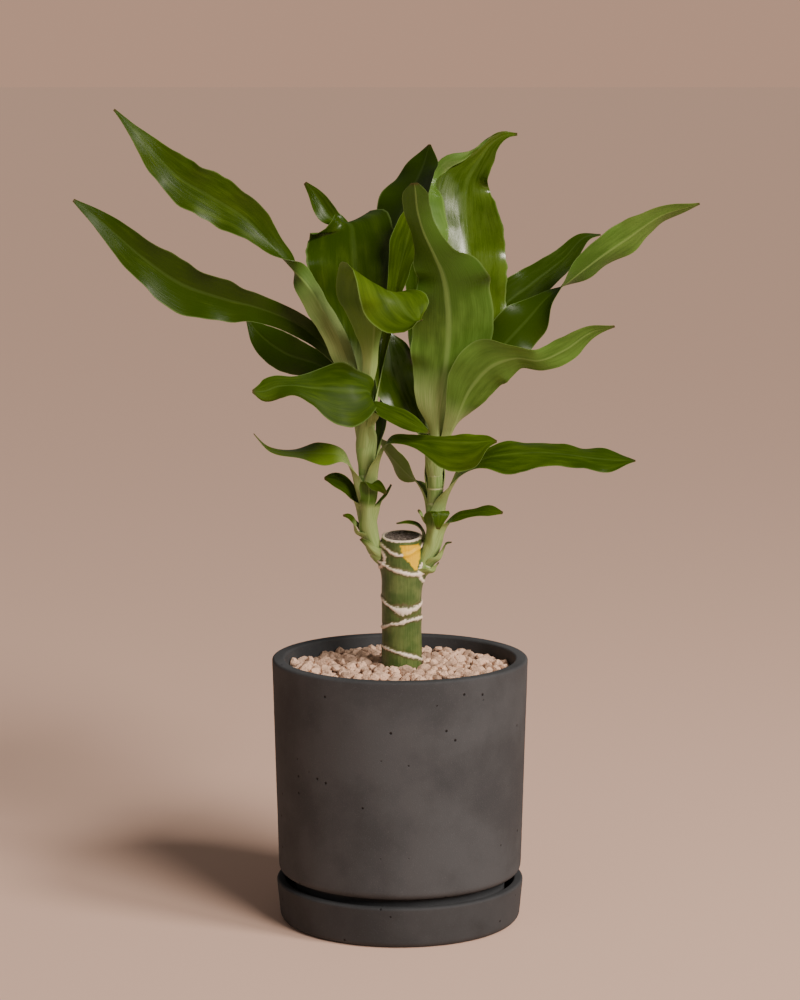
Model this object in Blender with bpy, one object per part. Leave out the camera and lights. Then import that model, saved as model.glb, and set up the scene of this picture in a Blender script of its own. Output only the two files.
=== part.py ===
import math

import bpy
import numpy as np

# all lengths below are millimetres; mm() turns them into metres
potRimRadius = 75.0
potRimHeight = 156.0
potWall = 7.5
potBodyRadius = 71.6
potBodyBottom = 28.0
potFootRadius = 62.0
potFootBottom = 8.3
potFloor = 18.0
potInnerBaseRadius = 64.0
potInnerShoulder = 40.0
potFootInnerRadius = 54.0
drainRadius = 7.5
lipRound = 1.5
saucerRadius = 72.8
saucerBaseRadius = 71.0
saucerHeight = 24.2
saucerFloor = 8.0
saucerWall = 5.5
edgeRound = 4.0
gap = 0.4
soilTop = 139.0
stonesEdge = 148.5
stonesCrown = 152.5
stoneBump = 1.6
caneX = 1.0
caneRadius = 11.7
caneBottom = 40.0
caneTop = 228.2
cutSlope = math.radians(8.0)
scarHeights = (160.0, 177.0, 188.0, 208.0, 221.0)
scarSwell = 0.6
scarHalf = 1.4
leafThickness = 0.9
tipWidth = 1.8
roundSegments = 64
shootSegments = 16
leafSteps = 12
leafColumns = 5

# centre line of each shoot: x, y, z, radius
shoots = {
    "left_shoot": (
        (-11.3, 0, 216, 3.4), (-15, 0, 219, 4.0), (-18, 0, 227, 4.2), (-19, 0, 240, 4.4),
        (-19.5, 0, 255, 4.9), (-20, 0, 276, 5.0), (-20.5, 0, 294, 4.6), (-20.5, 0, 309, 3.0),
    ),
    "right_shoot": (
        (13.3, 0, 209, 3.4), (16.5, 0, 213, 4.2), (19, 0, 223, 4.6), (20, 0, 236, 4.8),
        (20.5, 0, 254, 5.2), (20, 0, 270, 5.0), (20.5, 0, 283, 4.2), (21, 0, 292, 3.0),
    ),
}

# every leaf: the bearing it grows towards (degrees, 0 = +X, 90 = +Y) and its midrib stations
# station: x, y, z, full width, roll of the blade (degrees), rise of both margins (degrees)
leaves = {
    "left_scale_1": (250, (-16, -5.5, 220, 5, 0, 10), (-19.5, -6.5, 224, 5, 0, 10), (-23, -7, 227, 2, 0, 0)),
    "left_scale_2": (165, (-21.5, 5.5, 229, 5, 0, 10), (-24.5, 6, 233, 4, 0, 10), (-27, 6, 237, 2, 0, 0)),
    "left_scale_3": (
        190, (-25.5, -3, 230, 5, 0, 10), (-27, -4, 236, 6, -30, 10), (-30, -5, 239.5, 5, -30, 10),
        (-33, -6, 240.5, 2, -20, 0),
    ),
    "left_leaf_1": (
        180, (-25.5, 2, 245, 5, 0, 10), (-28, 2, 252, 9, -35, 10), (-34, 2, 258.5, 12, -45, 0),
        (-40, 1, 261, 8, -45, 0), (-44, 0, 261.5, 2, -40, 0),
    ),
    "left_leaf_2": (
        -75, (-19, -6.5, 242, 5, 0, 10), (-18, -8.5, 251, 10, 0, 15), (-17, -11, 260, 11, 0, 10),
        (-12, -13, 258.5, 6, 30, 0), (-8, -13, 254.5, 2, 30, 0),
    ),
    "left_leaf_3": (
        0, (-12.5, -1, 243, 4, 0, 10), (-11, -1, 248.5, 5, 20, 10), (-8, -1, 252, 4, 20, 10),
        (-5, -1, 258, 2, 20, 0),
    ),
    "left_leaf_4": (
        186, (-26.5, -3, 258, 6, 0, 10), (-29, -6, 267, 9, -10, 20), (-33, -8, 274, 14, -25, 10),
        (-44, -11, 278, 23, -22, -10), (-60, -14, 277, 22, -18, -5), (-73, -17, 278, 15, -12, 5),
        (-81, -18, 281, 7, -5, 5), (-84, -18, 289, 2, 0, 0),
    ),
    "left_leaf_5": (
        -25, (-14.5, -6, 261, 5, 0, 10), (-10, -11, 274, 9, 10, 20), (-2, -19, 285, 14, 25, 20),
        (12, -28, 287, 22, 25, 15), (27, -34, 284, 29, 40, -10), (41, -38, 283, 28, 40, -20),
        (49, -40, 285, 15, 30, -10), (54, -41, 287, 2, 20, 0),
    ),
    "left_leaf_6": (
        200, (-20, -7.5, 289, 5, 0, 10), (-19.5, -14, 303, 12, -10, 20), (-21, -23, 314, 20, -30, 20),
        (-28, -30, 319, 36, -50, -10), (-42, -34, 318, 36, -40, -15), (-57, -37, 318, 24, -35, 0),
        (-70, -39, 317, 19, -50, 0), (-79, -40, 317, 9, -50, 0), (-83, -41, 318, 2, -40, 0),
    ),
    "left_leaf_7": (
        -30, (-14.5, -5, 286, 5, 0, 10), (-12, -11, 297, 8, 10, 20), (-7, -17, 301, 12, 40, 0),
        (2, -23, 298, 12, 50, 0), (11, -30, 294, 10, 50, 0), (16.5, -33, 291, 2, 50, 0),
    ),
    "left_leaf_8": (
        172, (-26.5, 4, 298, 5, 0, 10), (-36, 14, 316, 14, -20, 10), (-50, 21, 328, 26, -35, -15),
        (-64, 26, 338, 32, -40, -25), (-75, 31, 348, 27, -40, -20), (-85, 34, 356, 15, -35, -10),
        (-93, 36, 363, 2, -30, 0),
    ),
    "left_leaf_9": (
        30, (-13.5, 4, 271, 5, 0, 10), (-11, 9, 287, 9, 0, 15), (-9.5, 14, 301, 11, 0, 15),
        (-7, 18, 313, 9, 0, 10), (-3, 21, 325, 2, 0, 0),
    ),
    "left_leaf_10": (
        200, (-25, -7, 307, 6, 0, 10), (-36, -16, 342, 11, 20, 20), (-46, -19, 363, 12, 0, 15),
        (-57, -21, 379, 15, -45, 0), (-72, -24, 394, 22, -42, -15), (-86, -27, 412, 31, -50, -15),
        (-103, -29, 425, 31, -55, -20), (-121, -31, 439, 32, -50, -28), (-138, -33, 452, 25, -50, -20),
        (-151, -35, 463, 13, -40, -10), (-160, -36, 472.5, 2, -30, 0),
    ),
    "left_leaf_11": (
        182, (-27.5, -1, 302, 5, 0, 10), (-42, -4, 331, 12, 10, 15), (-57, -5, 349, 17, -5, 15),
        (-71, -6, 359, 26, -20, 0), (-91, -8, 366, 38, -30, -20), (-111, -11, 377, 44, -38, -30),
        (-131, -14, 389, 43, -38, -30), (-150, -17, 401, 31, -35, -25), (-170, -21, 415, 17, -30, -15),
        (-185, -23, 423, 2, -20, 0),
    ),
    "left_leaf_12": (
        100, (-23, 7, 309, 5, 0, 10), (-27, 17, 342, 26, 0, 20), (-28, 25, 373, 48, 0, 20),
        (-30, 32, 396, 46, 0, 20), (-37, 40, 405, 22, 0, 20), (-44, 46, 415, 14, 0, 10),
        (-51, 50, 425, 8, 0, 0), (-56, 51, 431.5, 2, 0, 0),
    ),
    "left_leaf_13": (
        -70, (-19.5, -6, 306, 5, 0, 10), (-18, -13, 334, 18, 0, 30), (-17, -20, 352, 31, 0, 30),
        (-16, -26, 366, 40, 0, 25), (-17, -31, 377, 24, 0, 20), (-21, -35, 380, 10, 0, 10),
        (-23, -37, 380, 2, 0, 0),
    ),
    "left_leaf_14": (
        70, (-16.5, 6.5, 309, 4, 0, 10), (-13.5, 26, 345, 16, 0, 20), (-8, 42, 380, 22, 0, 20),
        (-1, 52, 405, 22, 0, 20), (6, 58, 423, 18, 0, 20), (12, 61, 438, 13, 0, 20),
        (17.5, 62, 450, 2, 0, 0),
    ),
    "left_leaf_15": (
        55, (-14.5, 1.5, 299, 4, 0, 10), (-8.5, 10, 340, 9, 0, 20), (-2, 17, 370, 13, 0, 20),
        (4, 21, 394, 15, 0, 20), (9, 24, 414, 11, 0, 10), (13, 26, 430, 2, 0, 0),
    ),
    "right_scale_1": (0, (20, -5.5, 208, 4, 0, 10), (21, -6, 210.5, 4, 0, 10), (22.5, -6.5, 213, 2, 0, 0)),
    "right_scale_2": (
        -10, (23, -5, 215, 5, 0, 10), (25, -5.5, 220, 6, 10, 10), (27, -6, 224, 5, 10, 10),
        (30, -6.5, 225, 2, 10, 0),
    ),
    "right_scale_3": (
        170, (13.6, 2, 225, 4, 0, 0), (13.4, 1.5, 229.5, 5, 0, 10), (10.5, 0, 233.5, 6, 0, 15),
        (5, -1.5, 235.5, 5, -10, 10), (-2, -3, 235.5, 2, -10, 0),
    ),
    "right_scale_4": (180, (14, -3, 237, 4, 0, 10), (12, -3.5, 241, 5, -20, 10), (10.5, -4, 243.5, 2, -30, 0)),
    "right_leaf_1": (
        -80, (19, -7, 230, 5, 0, 10), (20, -10, 241, 11, 0, 15), (23, -13.5, 244, 12, 0, 0),
        (22.5, -15.5, 239, 7, 0, 0), (22, -16, 234, 2, 0, 0),
    ),
    "right_leaf_2": (
        -5, (25.5, -5, 231, 4, 0, 10), (29, -6, 237, 7, 20, 15), (35, -8, 241, 8, 30, 0),
        (44, -10, 243, 8, 30, 0), (53, -11, 244, 8, 40, 0), (59.5, -12, 243, 2, 30, 0),
    ),
    "right_leaf_3": (
        -8, (26.5, -4, 246, 5, 0, 10), (30, -8, 255, 9, 10, 20), (35, -10, 263, 13, 15, 20),
        (44, -13, 271, 18, 25, 0), (60, -16, 276, 27, 28, -10), (78, -18, 277, 29, 25, -10),
        (97, -20, 276, 25, 25, -10), (116, -22, 275, 22, 25, -10), (128, -23, 275, 12, 25, 0),
        (135, -24, 275, 2, 20, 0),
    ),
    "right_leaf_4": (
        150, (15, 5, 249, 5, 0, 10), (10, 9, 258, 10, -10, 20), (3, 13, 264, 19, -40, 10),
        (-4, 17, 271, 21, -40, 10), (-10, 20, 278, 13, -30, 10), (-14, 22, 284, 2, -20, 0),
    ),
    "right_leaf_5": (
        150, (14.5, 3.5, 279, 5, 0, 10), (8, 6, 296, 12, 0, 20), (3, 8, 308, 17, 0, 20),
        (-2, 7, 322, 20, 0, 20), (-4, 5, 336, 17, 0, 20), (-5, 3, 348, 2, 0, 0),
    ),
    "right_leaf_6": (
        -35, (27.2, -5, 282, 5, 0, 10), (35, -19, 305, 18, 0, 20), (44, -26, 321, 26, 0, 15),
        (57, -31, 333, 27, -20, 15), (73, -35, 339, 25, -40, 10), (90, -36, 341, 25, -40, 10),
        (103, -39, 349, 18, -30, 10), (112, -41, 354, 9, -30, 0), (120, -42, 353.5, 2, -20, 0),
    ),
    "right_leaf_7": (
        -90, (21.5, -6, 285, 6, 0, 10), (25, -13, 304, 23, 0, 20), (26.5, -20, 327, 38, 0, 18),
        (27.5, -26, 352, 45, 0, 16), (25, -31, 378, 40, 0, 16), (18, -34, 402, 25, 0, 20),
        (12, -36, 418, 17, 0, 20), (8, -37, 432, 3, 0, 10),
    ),
    "right_leaf_8": (
        80, (23, 6, 285, 5, 0, 10), (32.5, 22, 324, 22, 0, 20), (40, 32, 354, 40, 0, 18),
        (42, 38, 388, 42, 0, 20), (42, 41, 414, 39, 0, 22), (45, 42, 434, 24, 0, 25),
        (51, 41, 448, 12, 0, 20), (59, 39, 458, 6, 0, 10), (68, 37, 459.5, 2, 0, 0),
    ),
    "right_leaf_9": (
        15, (27, 1, 285, 6, 0, 10), (45, 5, 319, 18, 20, 20), (65, 9, 344, 29, 40, 10),
        (85, 14, 365, 27, 30, 0), (104, 18, 382, 29, -35, 15), (121, 20, 398, 34, -45, 15),
        (138, 22, 410, 29, -45, 10), (155, 21, 418, 17, -40, 10), (171, 20, 420, 2, -30, 0),
    ),
    "right_leaf_10": (
        35, (26, 4, 279, 5, 0, 10), (46, 29, 330, 17, 20, 20), (60, 40, 363, 28, 35, 0),
        (80, 50, 376, 30, 35, -10), (96, 56, 387, 22, 30, -10), (109, 58, 398, 13, 20, 0),
        (119, 58, 402, 2, 20, 0),
    ),
    "right_leaf_11": (
        125, (17.5, 5.5, 280, 5, 0, 10), (13, 24, 325, 15, 0, 20), (10, 39, 360, 20, 0, 20),
        (10, 47, 385, 17, 0, 20), (13, 51, 404, 2, 0, 0),
    ),
    "left_back_leaf": (
        100, (-19.5, 6.5, 288, 5, 0, 10), (-21, 25, 318, 18, 0, 15), (-23, 48, 339, 32, 0, 5),
        (-25, 78, 348, 32, 0, -5), (-27, 104, 346, 18, 0, 0), (-28, 120, 340, 2, 0, 0),
    ),
    "right_back_leaf": (
        75, (20, 6.5, 272, 5, 0, 10), (22, 26, 306, 20, 0, 15), (26, 52, 330, 32, 0, 5),
        (29, 82, 343, 32, 0, -5), (31, 106, 341, 18, 0, 0), (32, 121, 335, 2, 0, 0),
    ),
}


def mm(values):
    return np.asarray(values, float) * 0.001


def makeMaterial(name, colour, roughness):
    material = bpy.data.materials.new(name)
    material.use_nodes = True
    shader = material.node_tree.nodes["Principled BSDF"]
    shader.inputs["Base Color"].default_value = (*colour, 1.0)
    shader.inputs["Roughness"].default_value = roughness
    material.diffuse_color = (*colour, 1.0)
    return material


def makeObject(name, points, faces, material):
    # points arrive in millimetres
    mesh = bpy.data.meshes.new(name)
    mesh.from_pydata(mm(points).tolist(), [], faces)
    mesh.materials.append(material)
    mesh.update()
    mesh.shade_smooth()
    item = bpy.data.objects.new(name, mesh)
    bpy.context.scene.collection.objects.link(item)
    return item


def stripFaces(rows, columns, wrapRows=False):
    # quads between neighbouring rings of points; each ring is closed
    faces = []
    for row in range(rows if wrapRows else rows - 1):
        below = row * columns
        above = ((row + 1) % rows) * columns
        for column in range(columns):
            following = (column + 1) % columns
            faces.append((below + column, below + following, above + following, above + column))
    return faces


def roundCorner(centre, radius, start, end, steps=4):
    # points of an arc given by its centre, radius and two bearings in degrees
    arc = []
    for step in range(steps + 1):
        angle = math.radians(start + (end - start) * step / steps)
        arc.append((centre[0] + radius * math.cos(angle), centre[1] + radius * math.sin(angle)))
    return arc


def turnedRing(name, profile, material, centreX=0.0, segments=roundSegments):
    # closed profile (radius, height) running anticlockwise, turned about the vertical axis
    turn = np.linspace(0.0, 2.0 * math.pi, segments, endpoint=False)
    points = []
    for radius, height in profile:
        ring = np.stack((centreX + radius * np.cos(turn), radius * np.sin(turn), np.full(segments, height)), 1)
        points.append(ring)
    return makeObject(name, np.concatenate(points), stripFaces(len(profile), segments, True), material)


def cappedTube(name, rings, material):
    # rings of equal length from bottom to top, closed by a fan at each end
    rings = np.asarray(rings)
    count, columns = rings.shape[:2]
    points = np.concatenate((rings.reshape(-1, 3), rings[0].mean(0)[None], rings[-1].mean(0)[None]))
    faces = stripFaces(count, columns)
    low = count * columns
    top = low - columns
    for column in range(columns):
        following = (column + 1) % columns
        faces.append((following, column, low))
        faces.append((top + column, top + following, low + 1))
    return makeObject(name, points, faces, material)


def buildSaucer(material):
    inner = saucerRadius - saucerWall
    profile = [(0.05, 0.0), (saucerBaseRadius - edgeRound, 0.0)]
    profile += roundCorner((saucerBaseRadius - edgeRound, edgeRound), edgeRound, -67.5, 0, 3)
    profile += roundCorner((saucerRadius - lipRound, saucerHeight - lipRound), lipRound, 0, 90)
    profile += roundCorner((inner + lipRound, saucerHeight - lipRound), lipRound, 90, 180)
    profile += roundCorner((inner - edgeRound - 0.5, saucerFloor + edgeRound), edgeRound, 0, -90, 3)
    profile += [(0.05, saucerFloor)]
    rings = []
    turn = np.linspace(0.0, 2.0 * math.pi, roundSegments, endpoint=False)
    for radius, height in profile:
        rings.append(np.stack((radius * np.cos(turn), radius * np.sin(turn), np.full(roundSegments, height)), 1))
    return cappedTube("saucer", rings, material)


def buildPot(material):
    inner = potRimRadius - potWall
    profile = [(drainRadius, potFootBottom), (potFootRadius - 1.0, potFootBottom), (potFootRadius, potFootBottom + 1.0)]
    profile += [(potFootRadius, potBodyBottom - 1.0), (potFootRadius + 1.0, potBodyBottom)]
    profile += roundCorner((potBodyRadius - 5.0, potBodyBottom + 5.0), 5.0, -90, 0)
    profile += roundCorner((potRimRadius - lipRound, potRimHeight - lipRound), lipRound, 0, 90)
    profile += roundCorner((inner + lipRound, potRimHeight - lipRound), lipRound, 90, 180)
    profile += roundCorner((potInnerBaseRadius - 5.0, potInnerShoulder), 5.0, 0, -90, 3)
    profile += [(potFootInnerRadius, potInnerShoulder - 5.0), (potFootInnerRadius, potFloor), (drainRadius, potFloor)]
    return turnedRing("pot", profile, material)


def innerPotRadius(height):
    # the inside of the pot widens evenly from its shoulder to the rim
    share = (height - potInnerShoulder) / (potRimHeight - lipRound - potInnerShoulder)
    return potInnerBaseRadius + share * (potRimRadius - potWall - potInnerBaseRadius)


def buildSoil(material):
    hole = caneRadius + gap
    top = innerPotRadius(soilTop) - gap
    profile = [(0.05, potFloor + gap), (potFootInnerRadius - gap, potFloor + gap)]
    profile += [(potFootInnerRadius - gap, potInnerShoulder - 5.0 + gap), (potInnerBaseRadius - 6.0, potInnerShoulder - 4.6)]
    profile += [(potInnerBaseRadius - gap - 0.6, potInnerShoulder + 1.0), (top, soilTop), (hole, soilTop)]
    profile += [(hole, caneBottom - gap), (0.05, caneBottom - gap)]
    rings = []
    turn = np.linspace(0.0, 2.0 * math.pi, 48, endpoint=False)
    for radius, height in profile:
        centre = caneX if radius <= hole else 0.0
        rings.append(np.stack((centre + radius * np.cos(turn), radius * np.sin(turn), np.full(48, height)), 1))
    return cappedTube("soil", rings, material)


def buildStones(material):
    # a mounded layer with a bumpy top, open round the cane
    rows = 13
    segments = 60
    hole = caneRadius + 0.5
    outer = innerPotRadius(soilTop) - gap
    turn = np.linspace(0.0, 2.0 * math.pi, segments, endpoint=False)
    bumps = np.random.default_rng(5).random((rows, segments)) * stoneBump
    rings = [np.stack((outer * np.cos(turn), outer * np.sin(turn), np.full(segments, soilTop + gap)), 1)]
    for row in range(rows):
        share = row / (rows - 1)
        radius = outer + (hole - outer) * share
        height = stonesEdge + (stonesCrown - stonesEdge) * share + bumps[row]
        centre = caneX * share
        rings.append(np.stack((centre + radius * np.cos(turn), radius * np.sin(turn), height), 1))
    rings.append(np.stack((caneX + hole * np.cos(turn), hole * np.sin(turn), np.full(segments, soilTop + gap)), 1))
    rings = np.asarray(rings)
    return makeObject("stones", rings.reshape(-1, 3), stripFaces(len(rings), segments, True), material)


def buildCane(material):
    # a round stem, slightly swollen at each ring scar, cut off on a slope facing the front
    heights = [caneBottom, caneBottom + 1.0, 100.0, 150.0]
    for scar in scarHeights:
        heights += [scar - 2 * scarHalf, scar - scarHalf * 0.5, scar + scarHalf * 0.5, scar + 2 * scarHalf]
    heights += [caneTop - 0.8, caneTop]
    turn = np.linspace(0.0, 2.0 * math.pi, 32, endpoint=False)
    rings = []
    for height in heights:
        nearest = min(abs(height - scar) for scar in scarHeights)
        radius = caneRadius + (scarSwell if nearest < scarHalf else 0.0)
        if height in (caneBottom, caneTop):
            radius = caneRadius - 0.6
        slope = math.tan(cutSlope) * max(0.0, (height - 216.0) / (caneTop - 216.0))
        depth = radius * np.sin(turn)
        rings.append(np.stack((caneX + radius * np.cos(turn), depth, height + slope * depth), 1))
    return cappedTube("cane", rings, material)


def smoothPath(knots, values, samples):
    # cubic through every station, its slope at a station the mean of its neighbours' slopes
    knots = np.asarray(knots, float)
    values = np.asarray(values, float)
    spans = np.diff(knots)[:, None]
    slopes = np.diff(values, axis=0) / spans
    ends = np.empty_like(values)
    ends[0], ends[-1] = slopes[0], slopes[-1]
    ends[1:-1] = (slopes[1:] * spans[:-1] + slopes[:-1] * spans[1:]) / (spans[:-1] + spans[1:])
    index = np.clip(np.searchsorted(knots, samples, side="right") - 1, 0, len(knots) - 2)
    span = spans[index]
    share = (np.asarray(samples) - knots[index])[:, None] / span
    square, cube = share**2, share**3
    near = values[index] * (2 * cube - 3 * square + 1) + ends[index] * span * (cube - 2 * square + share)
    far = values[index + 1] * (3 * square - 2 * cube) + ends[index + 1] * span * (cube - square)
    return near + far


def pathLength(points):
    return np.r_[0.0, np.cumsum(np.linalg.norm(np.diff(points, axis=0), axis=1))]


def unit(vectors):
    return vectors / np.linalg.norm(vectors, axis=-1, keepdims=True)


def buildShoot(name, stations, material):
    # round rings square to the centre line, the first one facing the cane
    stations = np.asarray(stations, float)
    knots = pathLength(stations[:, :3])
    values = smoothPath(knots, stations, np.linspace(0.0, knots[-1], 18))
    along = unit(np.gradient(values[:, :3], axis=0))
    along[0] = (math.copysign(1.0, stations[0, 0]), 0.0, 0.0)
    across = np.tile((0.0, 1.0, 0.0), (len(values), 1))
    third = np.cross(along, across)
    turn = np.linspace(0.0, 2.0 * math.pi, shootSegments, endpoint=False)
    rings = []
    for centre, side, upward in zip(values, across, third):
        ring = centre[3] * (np.outer(np.sin(turn), side) - np.outer(np.cos(turn), upward))
        rings.append(centre[:3] + ring)
    return cappedTube(name, rings, material)


def buildLeaf(name, bearing, stations, material):
    # blade cross rows square to the midrib, both margins raised like a shallow V, then thickened
    stations = np.asarray(stations, float)
    knots = pathLength(stations[:, :3])
    values = smoothPath(knots, stations, np.linspace(0.0, knots[-1], leafSteps))
    midrib = values[:, :3]
    half = np.maximum(values[:, 3], tipWidth) * 0.5
    along = unit(np.gradient(midrib, axis=0))
    level = np.array((-math.sin(math.radians(bearing)), math.cos(math.radians(bearing)), 0.0))
    side = unit(level - (along @ level)[:, None] * along)
    upper = np.cross(along, side)
    share = np.linspace(-1.0, 1.0, leafColumns)
    angle = np.radians(values[:, 4])[:, None] + np.sign(share) * np.radians(values[:, 5])[:, None]
    reach = (half[:, None] * share)[..., None]
    blade = midrib[:, None] + reach * (np.cos(angle)[..., None] * side[:, None] + np.sin(angle)[..., None] * upper[:, None])
    normal = unit(np.cross(np.gradient(blade, axis=0), np.gradient(blade, axis=1)))
    above = blade + normal * leafThickness * 0.5
    under = blade - normal * leafThickness * 0.5
    rings = np.concatenate((under, above[:, ::-1]), axis=1)
    count, columns = rings.shape[:2]
    faces = stripFaces(count, columns)
    last = (count - 1) * columns
    for column in range(leafColumns - 1):
        mate = columns - 1 - column
        faces.append((column + 1, column, mate, mate - 1))
        faces.append((last + column, last + column + 1, last + mate - 1, last + mate))
    return makeObject(name, rings.reshape(-1, 3), faces, material)


def main():
    for item in list(bpy.data.objects):
        bpy.data.objects.remove(item, do_unlink=True)
    concrete = makeMaterial("concrete", (0.075, 0.072, 0.072), 0.9)
    saucerConcrete = makeMaterial("saucer_concrete", (0.055, 0.053, 0.053), 0.9)
    pumice = makeMaterial("pumice", (0.56, 0.46, 0.38), 0.95)
    earth = makeMaterial("soil", (0.05, 0.03, 0.02), 0.95)
    bark = makeMaterial("bark", (0.10, 0.15, 0.035), 0.6)
    green = makeMaterial("shoot_skin", (0.36, 0.42, 0.13), 0.5)
    blade = makeMaterial("leaf_blade", (0.06, 0.13, 0.012), 0.3)
    buildSaucer(saucerConcrete)
    buildPot(concrete)
    buildSoil(earth)
    buildStones(pumice)
    buildCane(bark)
    for name, stations in shoots.items():
        buildShoot(name, stations, green)
    for name, (bearing, *stations) in leaves.items():
        buildLeaf(name, bearing, stations, blade)


main()
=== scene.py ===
import math

import bmesh
import bpy
import numpy as np
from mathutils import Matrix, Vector


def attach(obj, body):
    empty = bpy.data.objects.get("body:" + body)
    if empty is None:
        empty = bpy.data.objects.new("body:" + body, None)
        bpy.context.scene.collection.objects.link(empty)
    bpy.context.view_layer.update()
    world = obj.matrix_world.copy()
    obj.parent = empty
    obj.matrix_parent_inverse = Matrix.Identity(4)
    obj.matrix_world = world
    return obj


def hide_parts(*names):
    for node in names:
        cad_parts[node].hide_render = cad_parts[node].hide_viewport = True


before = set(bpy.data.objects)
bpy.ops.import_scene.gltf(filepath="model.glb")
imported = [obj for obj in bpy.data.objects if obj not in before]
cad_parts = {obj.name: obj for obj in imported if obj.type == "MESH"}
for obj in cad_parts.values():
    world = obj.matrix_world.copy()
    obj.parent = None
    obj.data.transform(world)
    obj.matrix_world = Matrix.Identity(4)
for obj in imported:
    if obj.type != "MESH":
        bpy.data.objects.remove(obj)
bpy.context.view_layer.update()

mm = 0.001  # the shapes below are worked out in millimetres
circle = 2.0 * math.pi


def smoothPath(knots, values, samples):
    # a cubic through every station, its slope there the mean of the slopes on both sides
    knots = np.asarray(knots, float)
    values = np.asarray(values, float)
    spans = np.diff(knots)[:, None]
    slopes = np.diff(values, axis=0) / spans
    ends = np.empty_like(values)
    ends[0], ends[-1] = slopes[0], slopes[-1]
    ends[1:-1] = (slopes[1:] * spans[:-1] + slopes[:-1] * spans[1:]) / (spans[:-1] + spans[1:])
    index = np.clip(np.searchsorted(knots, samples, side="right") - 1, 0, len(knots) - 2)
    span = spans[index]
    share = (np.asarray(samples) - knots[index])[:, None] / span
    square, cube = share**2, share**3
    near = values[index] * (2 * cube - 3 * square + 1) + ends[index] * span * (cube - 2 * square + share)
    return near + values[index + 1] * (3 * square - 2 * cube) + ends[index + 1] * span * (cube - square)


def pathLength(points):
    # distance along the path to each point: the lengths of the steps added up
    return np.r_[0.0, np.cumsum(np.linalg.norm(np.diff(points, axis=0), axis=1))]


def unit(vectors):
    # each vector divided by its length
    return vectors / np.maximum(np.linalg.norm(vectors, axis=-1, keepdims=True), 1e-9)


def ease(value, low, high):
    # 0 below low, 1 above high, an S curve between
    share = np.clip((value - low) / (high - low), 0.0, 1.0)
    return share * share * (3.0 - 2.0 * share)


def swell(points, size, seed, octaves=3):
    # smooth unevenness: sine waves in random directions added up, each octave half as wide and half as strong
    rng = np.random.default_rng(seed)
    total = np.zeros(points.shape[:-1])
    for octave in range(octaves):
        for direction in unit(rng.normal(size=(5, 3))):
            angle = points @ direction * circle / size * 2**octave + rng.random() * circle
            total += 0.5**octave * np.sin(angle)
    return total / 5.0


def ringFaces(rows, columns, first=0, closed=False):
    # quads between rings of points; each ring joins its own start, and closed joins the last ring to the
    # first
    row = np.arange(rows if closed else rows - 1)[:, None]
    column = np.arange(columns)[None, :]
    below, above = row * columns, (row + 1) % rows * columns
    following = (column + 1) % columns
    quads = np.stack((below + column, below + following, above + following, above + column), -1)
    return quads.reshape(-1, 4) + first


def makePiece(name, points, faces, materials, replaced=None, faceKinds=None, marks=None, uv=None):
    # points in millimetres, faces as rows of indices (3 or 4 long), marks are numbers kept at each point
    mesh = bpy.data.meshes.new(name)
    mesh.from_pydata((np.asarray(points) * mm).tolist(), [], [list(face) for face in faces])
    for material in materials:
        mesh.materials.append(material)
    if faceKinds is not None:
        mesh.polygons.foreach_set("material_index", np.asarray(faceKinds, np.int32))
    for markName, values in (marks or {}).items():
        layer = mesh.attributes.new(markName, "FLOAT", "POINT")
        layer.data.foreach_set("value", np.asarray(values, np.float32).ravel())
    if uv is not None:
        corners = np.empty(len(mesh.loops), np.int32)
        mesh.loops.foreach_get("vertex_index", corners)
        layer = mesh.uv_layers.new(name="leafPlan")
        layer.data.foreach_set("uv", np.asarray(uv, np.float32)[corners].ravel())
    mesh.update()
    mesh.shade_smooth()
    piece = bpy.data.objects.new(name, mesh)
    bpy.context.scene.collection.objects.link(piece)
    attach(piece, "root")
    if replaced:
        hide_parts(replaced)
    return piece


def turned(profile, segments, centreX=0.0):
    # profile points (radius, height) turned about the upright axis: (radius cos turn, radius sin turn,
    # height)
    profile = np.asarray(profile, float)
    turn = np.linspace(0.0, circle, segments, endpoint=False)
    radius = profile[:, :1]
    height = np.repeat(profile[:, 1:2], segments, axis=1)
    return np.stack((centreX + radius * np.cos(turn), radius * np.sin(turn), height), -1)


def finelySpaced(outline, step):
    # the same outline with a point at least every step millimetres
    outline = np.asarray(outline, float)
    knots = pathLength(outline)
    samples = np.unique(np.r_[knots, np.arange(0.0, knots[-1], step)])
    return np.stack([np.interp(samples, knots, column) for column in outline.T], 1)


def arc(centre, radius, start, end, steps=6):
    # points on a circle between two bearings in degrees
    angle = np.radians(np.linspace(start, end, steps + 1))
    return [(centre[0] + radius * math.cos(a), centre[1] + radius * math.sin(a)) for a in angle]


def addNode(tree, kind, inputs=None, **settings):
    node = tree.nodes.new(kind)
    for key, value in settings.items():
        setattr(node, key, value)
    for key, value in (inputs or {}).items():
        if isinstance(value, bpy.types.NodeSocket):
            tree.links.new(value, node.inputs[key])
        else:
            node.inputs[key].default_value = value
    return node


def blendColour(tree, share, low, high):
    node = addNode(tree, "ShaderNodeMix", data_type="RGBA")
    for socket, value in ((node.inputs[0], share), (node.inputs[6], low), (node.inputs[7], high)):
        if isinstance(value, bpy.types.NodeSocket):
            tree.links.new(value, socket)
        else:
            socket.default_value = (*value, 1.0) if isinstance(value, tuple) else value
    return node.outputs[2]


def rescale(tree, value, low, high, newLow=0.0, newHigh=1.0):
    node = addNode(tree, "ShaderNodeMapRange", interpolation_type="SMOOTHSTEP")
    tree.links.new(value, node.inputs["Value"])
    node.inputs["From Min"].default_value = low
    node.inputs["From Max"].default_value = high
    node.inputs["To Min"].default_value = newLow
    node.inputs["To Max"].default_value = newHigh
    return node.outputs["Result"]


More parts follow.
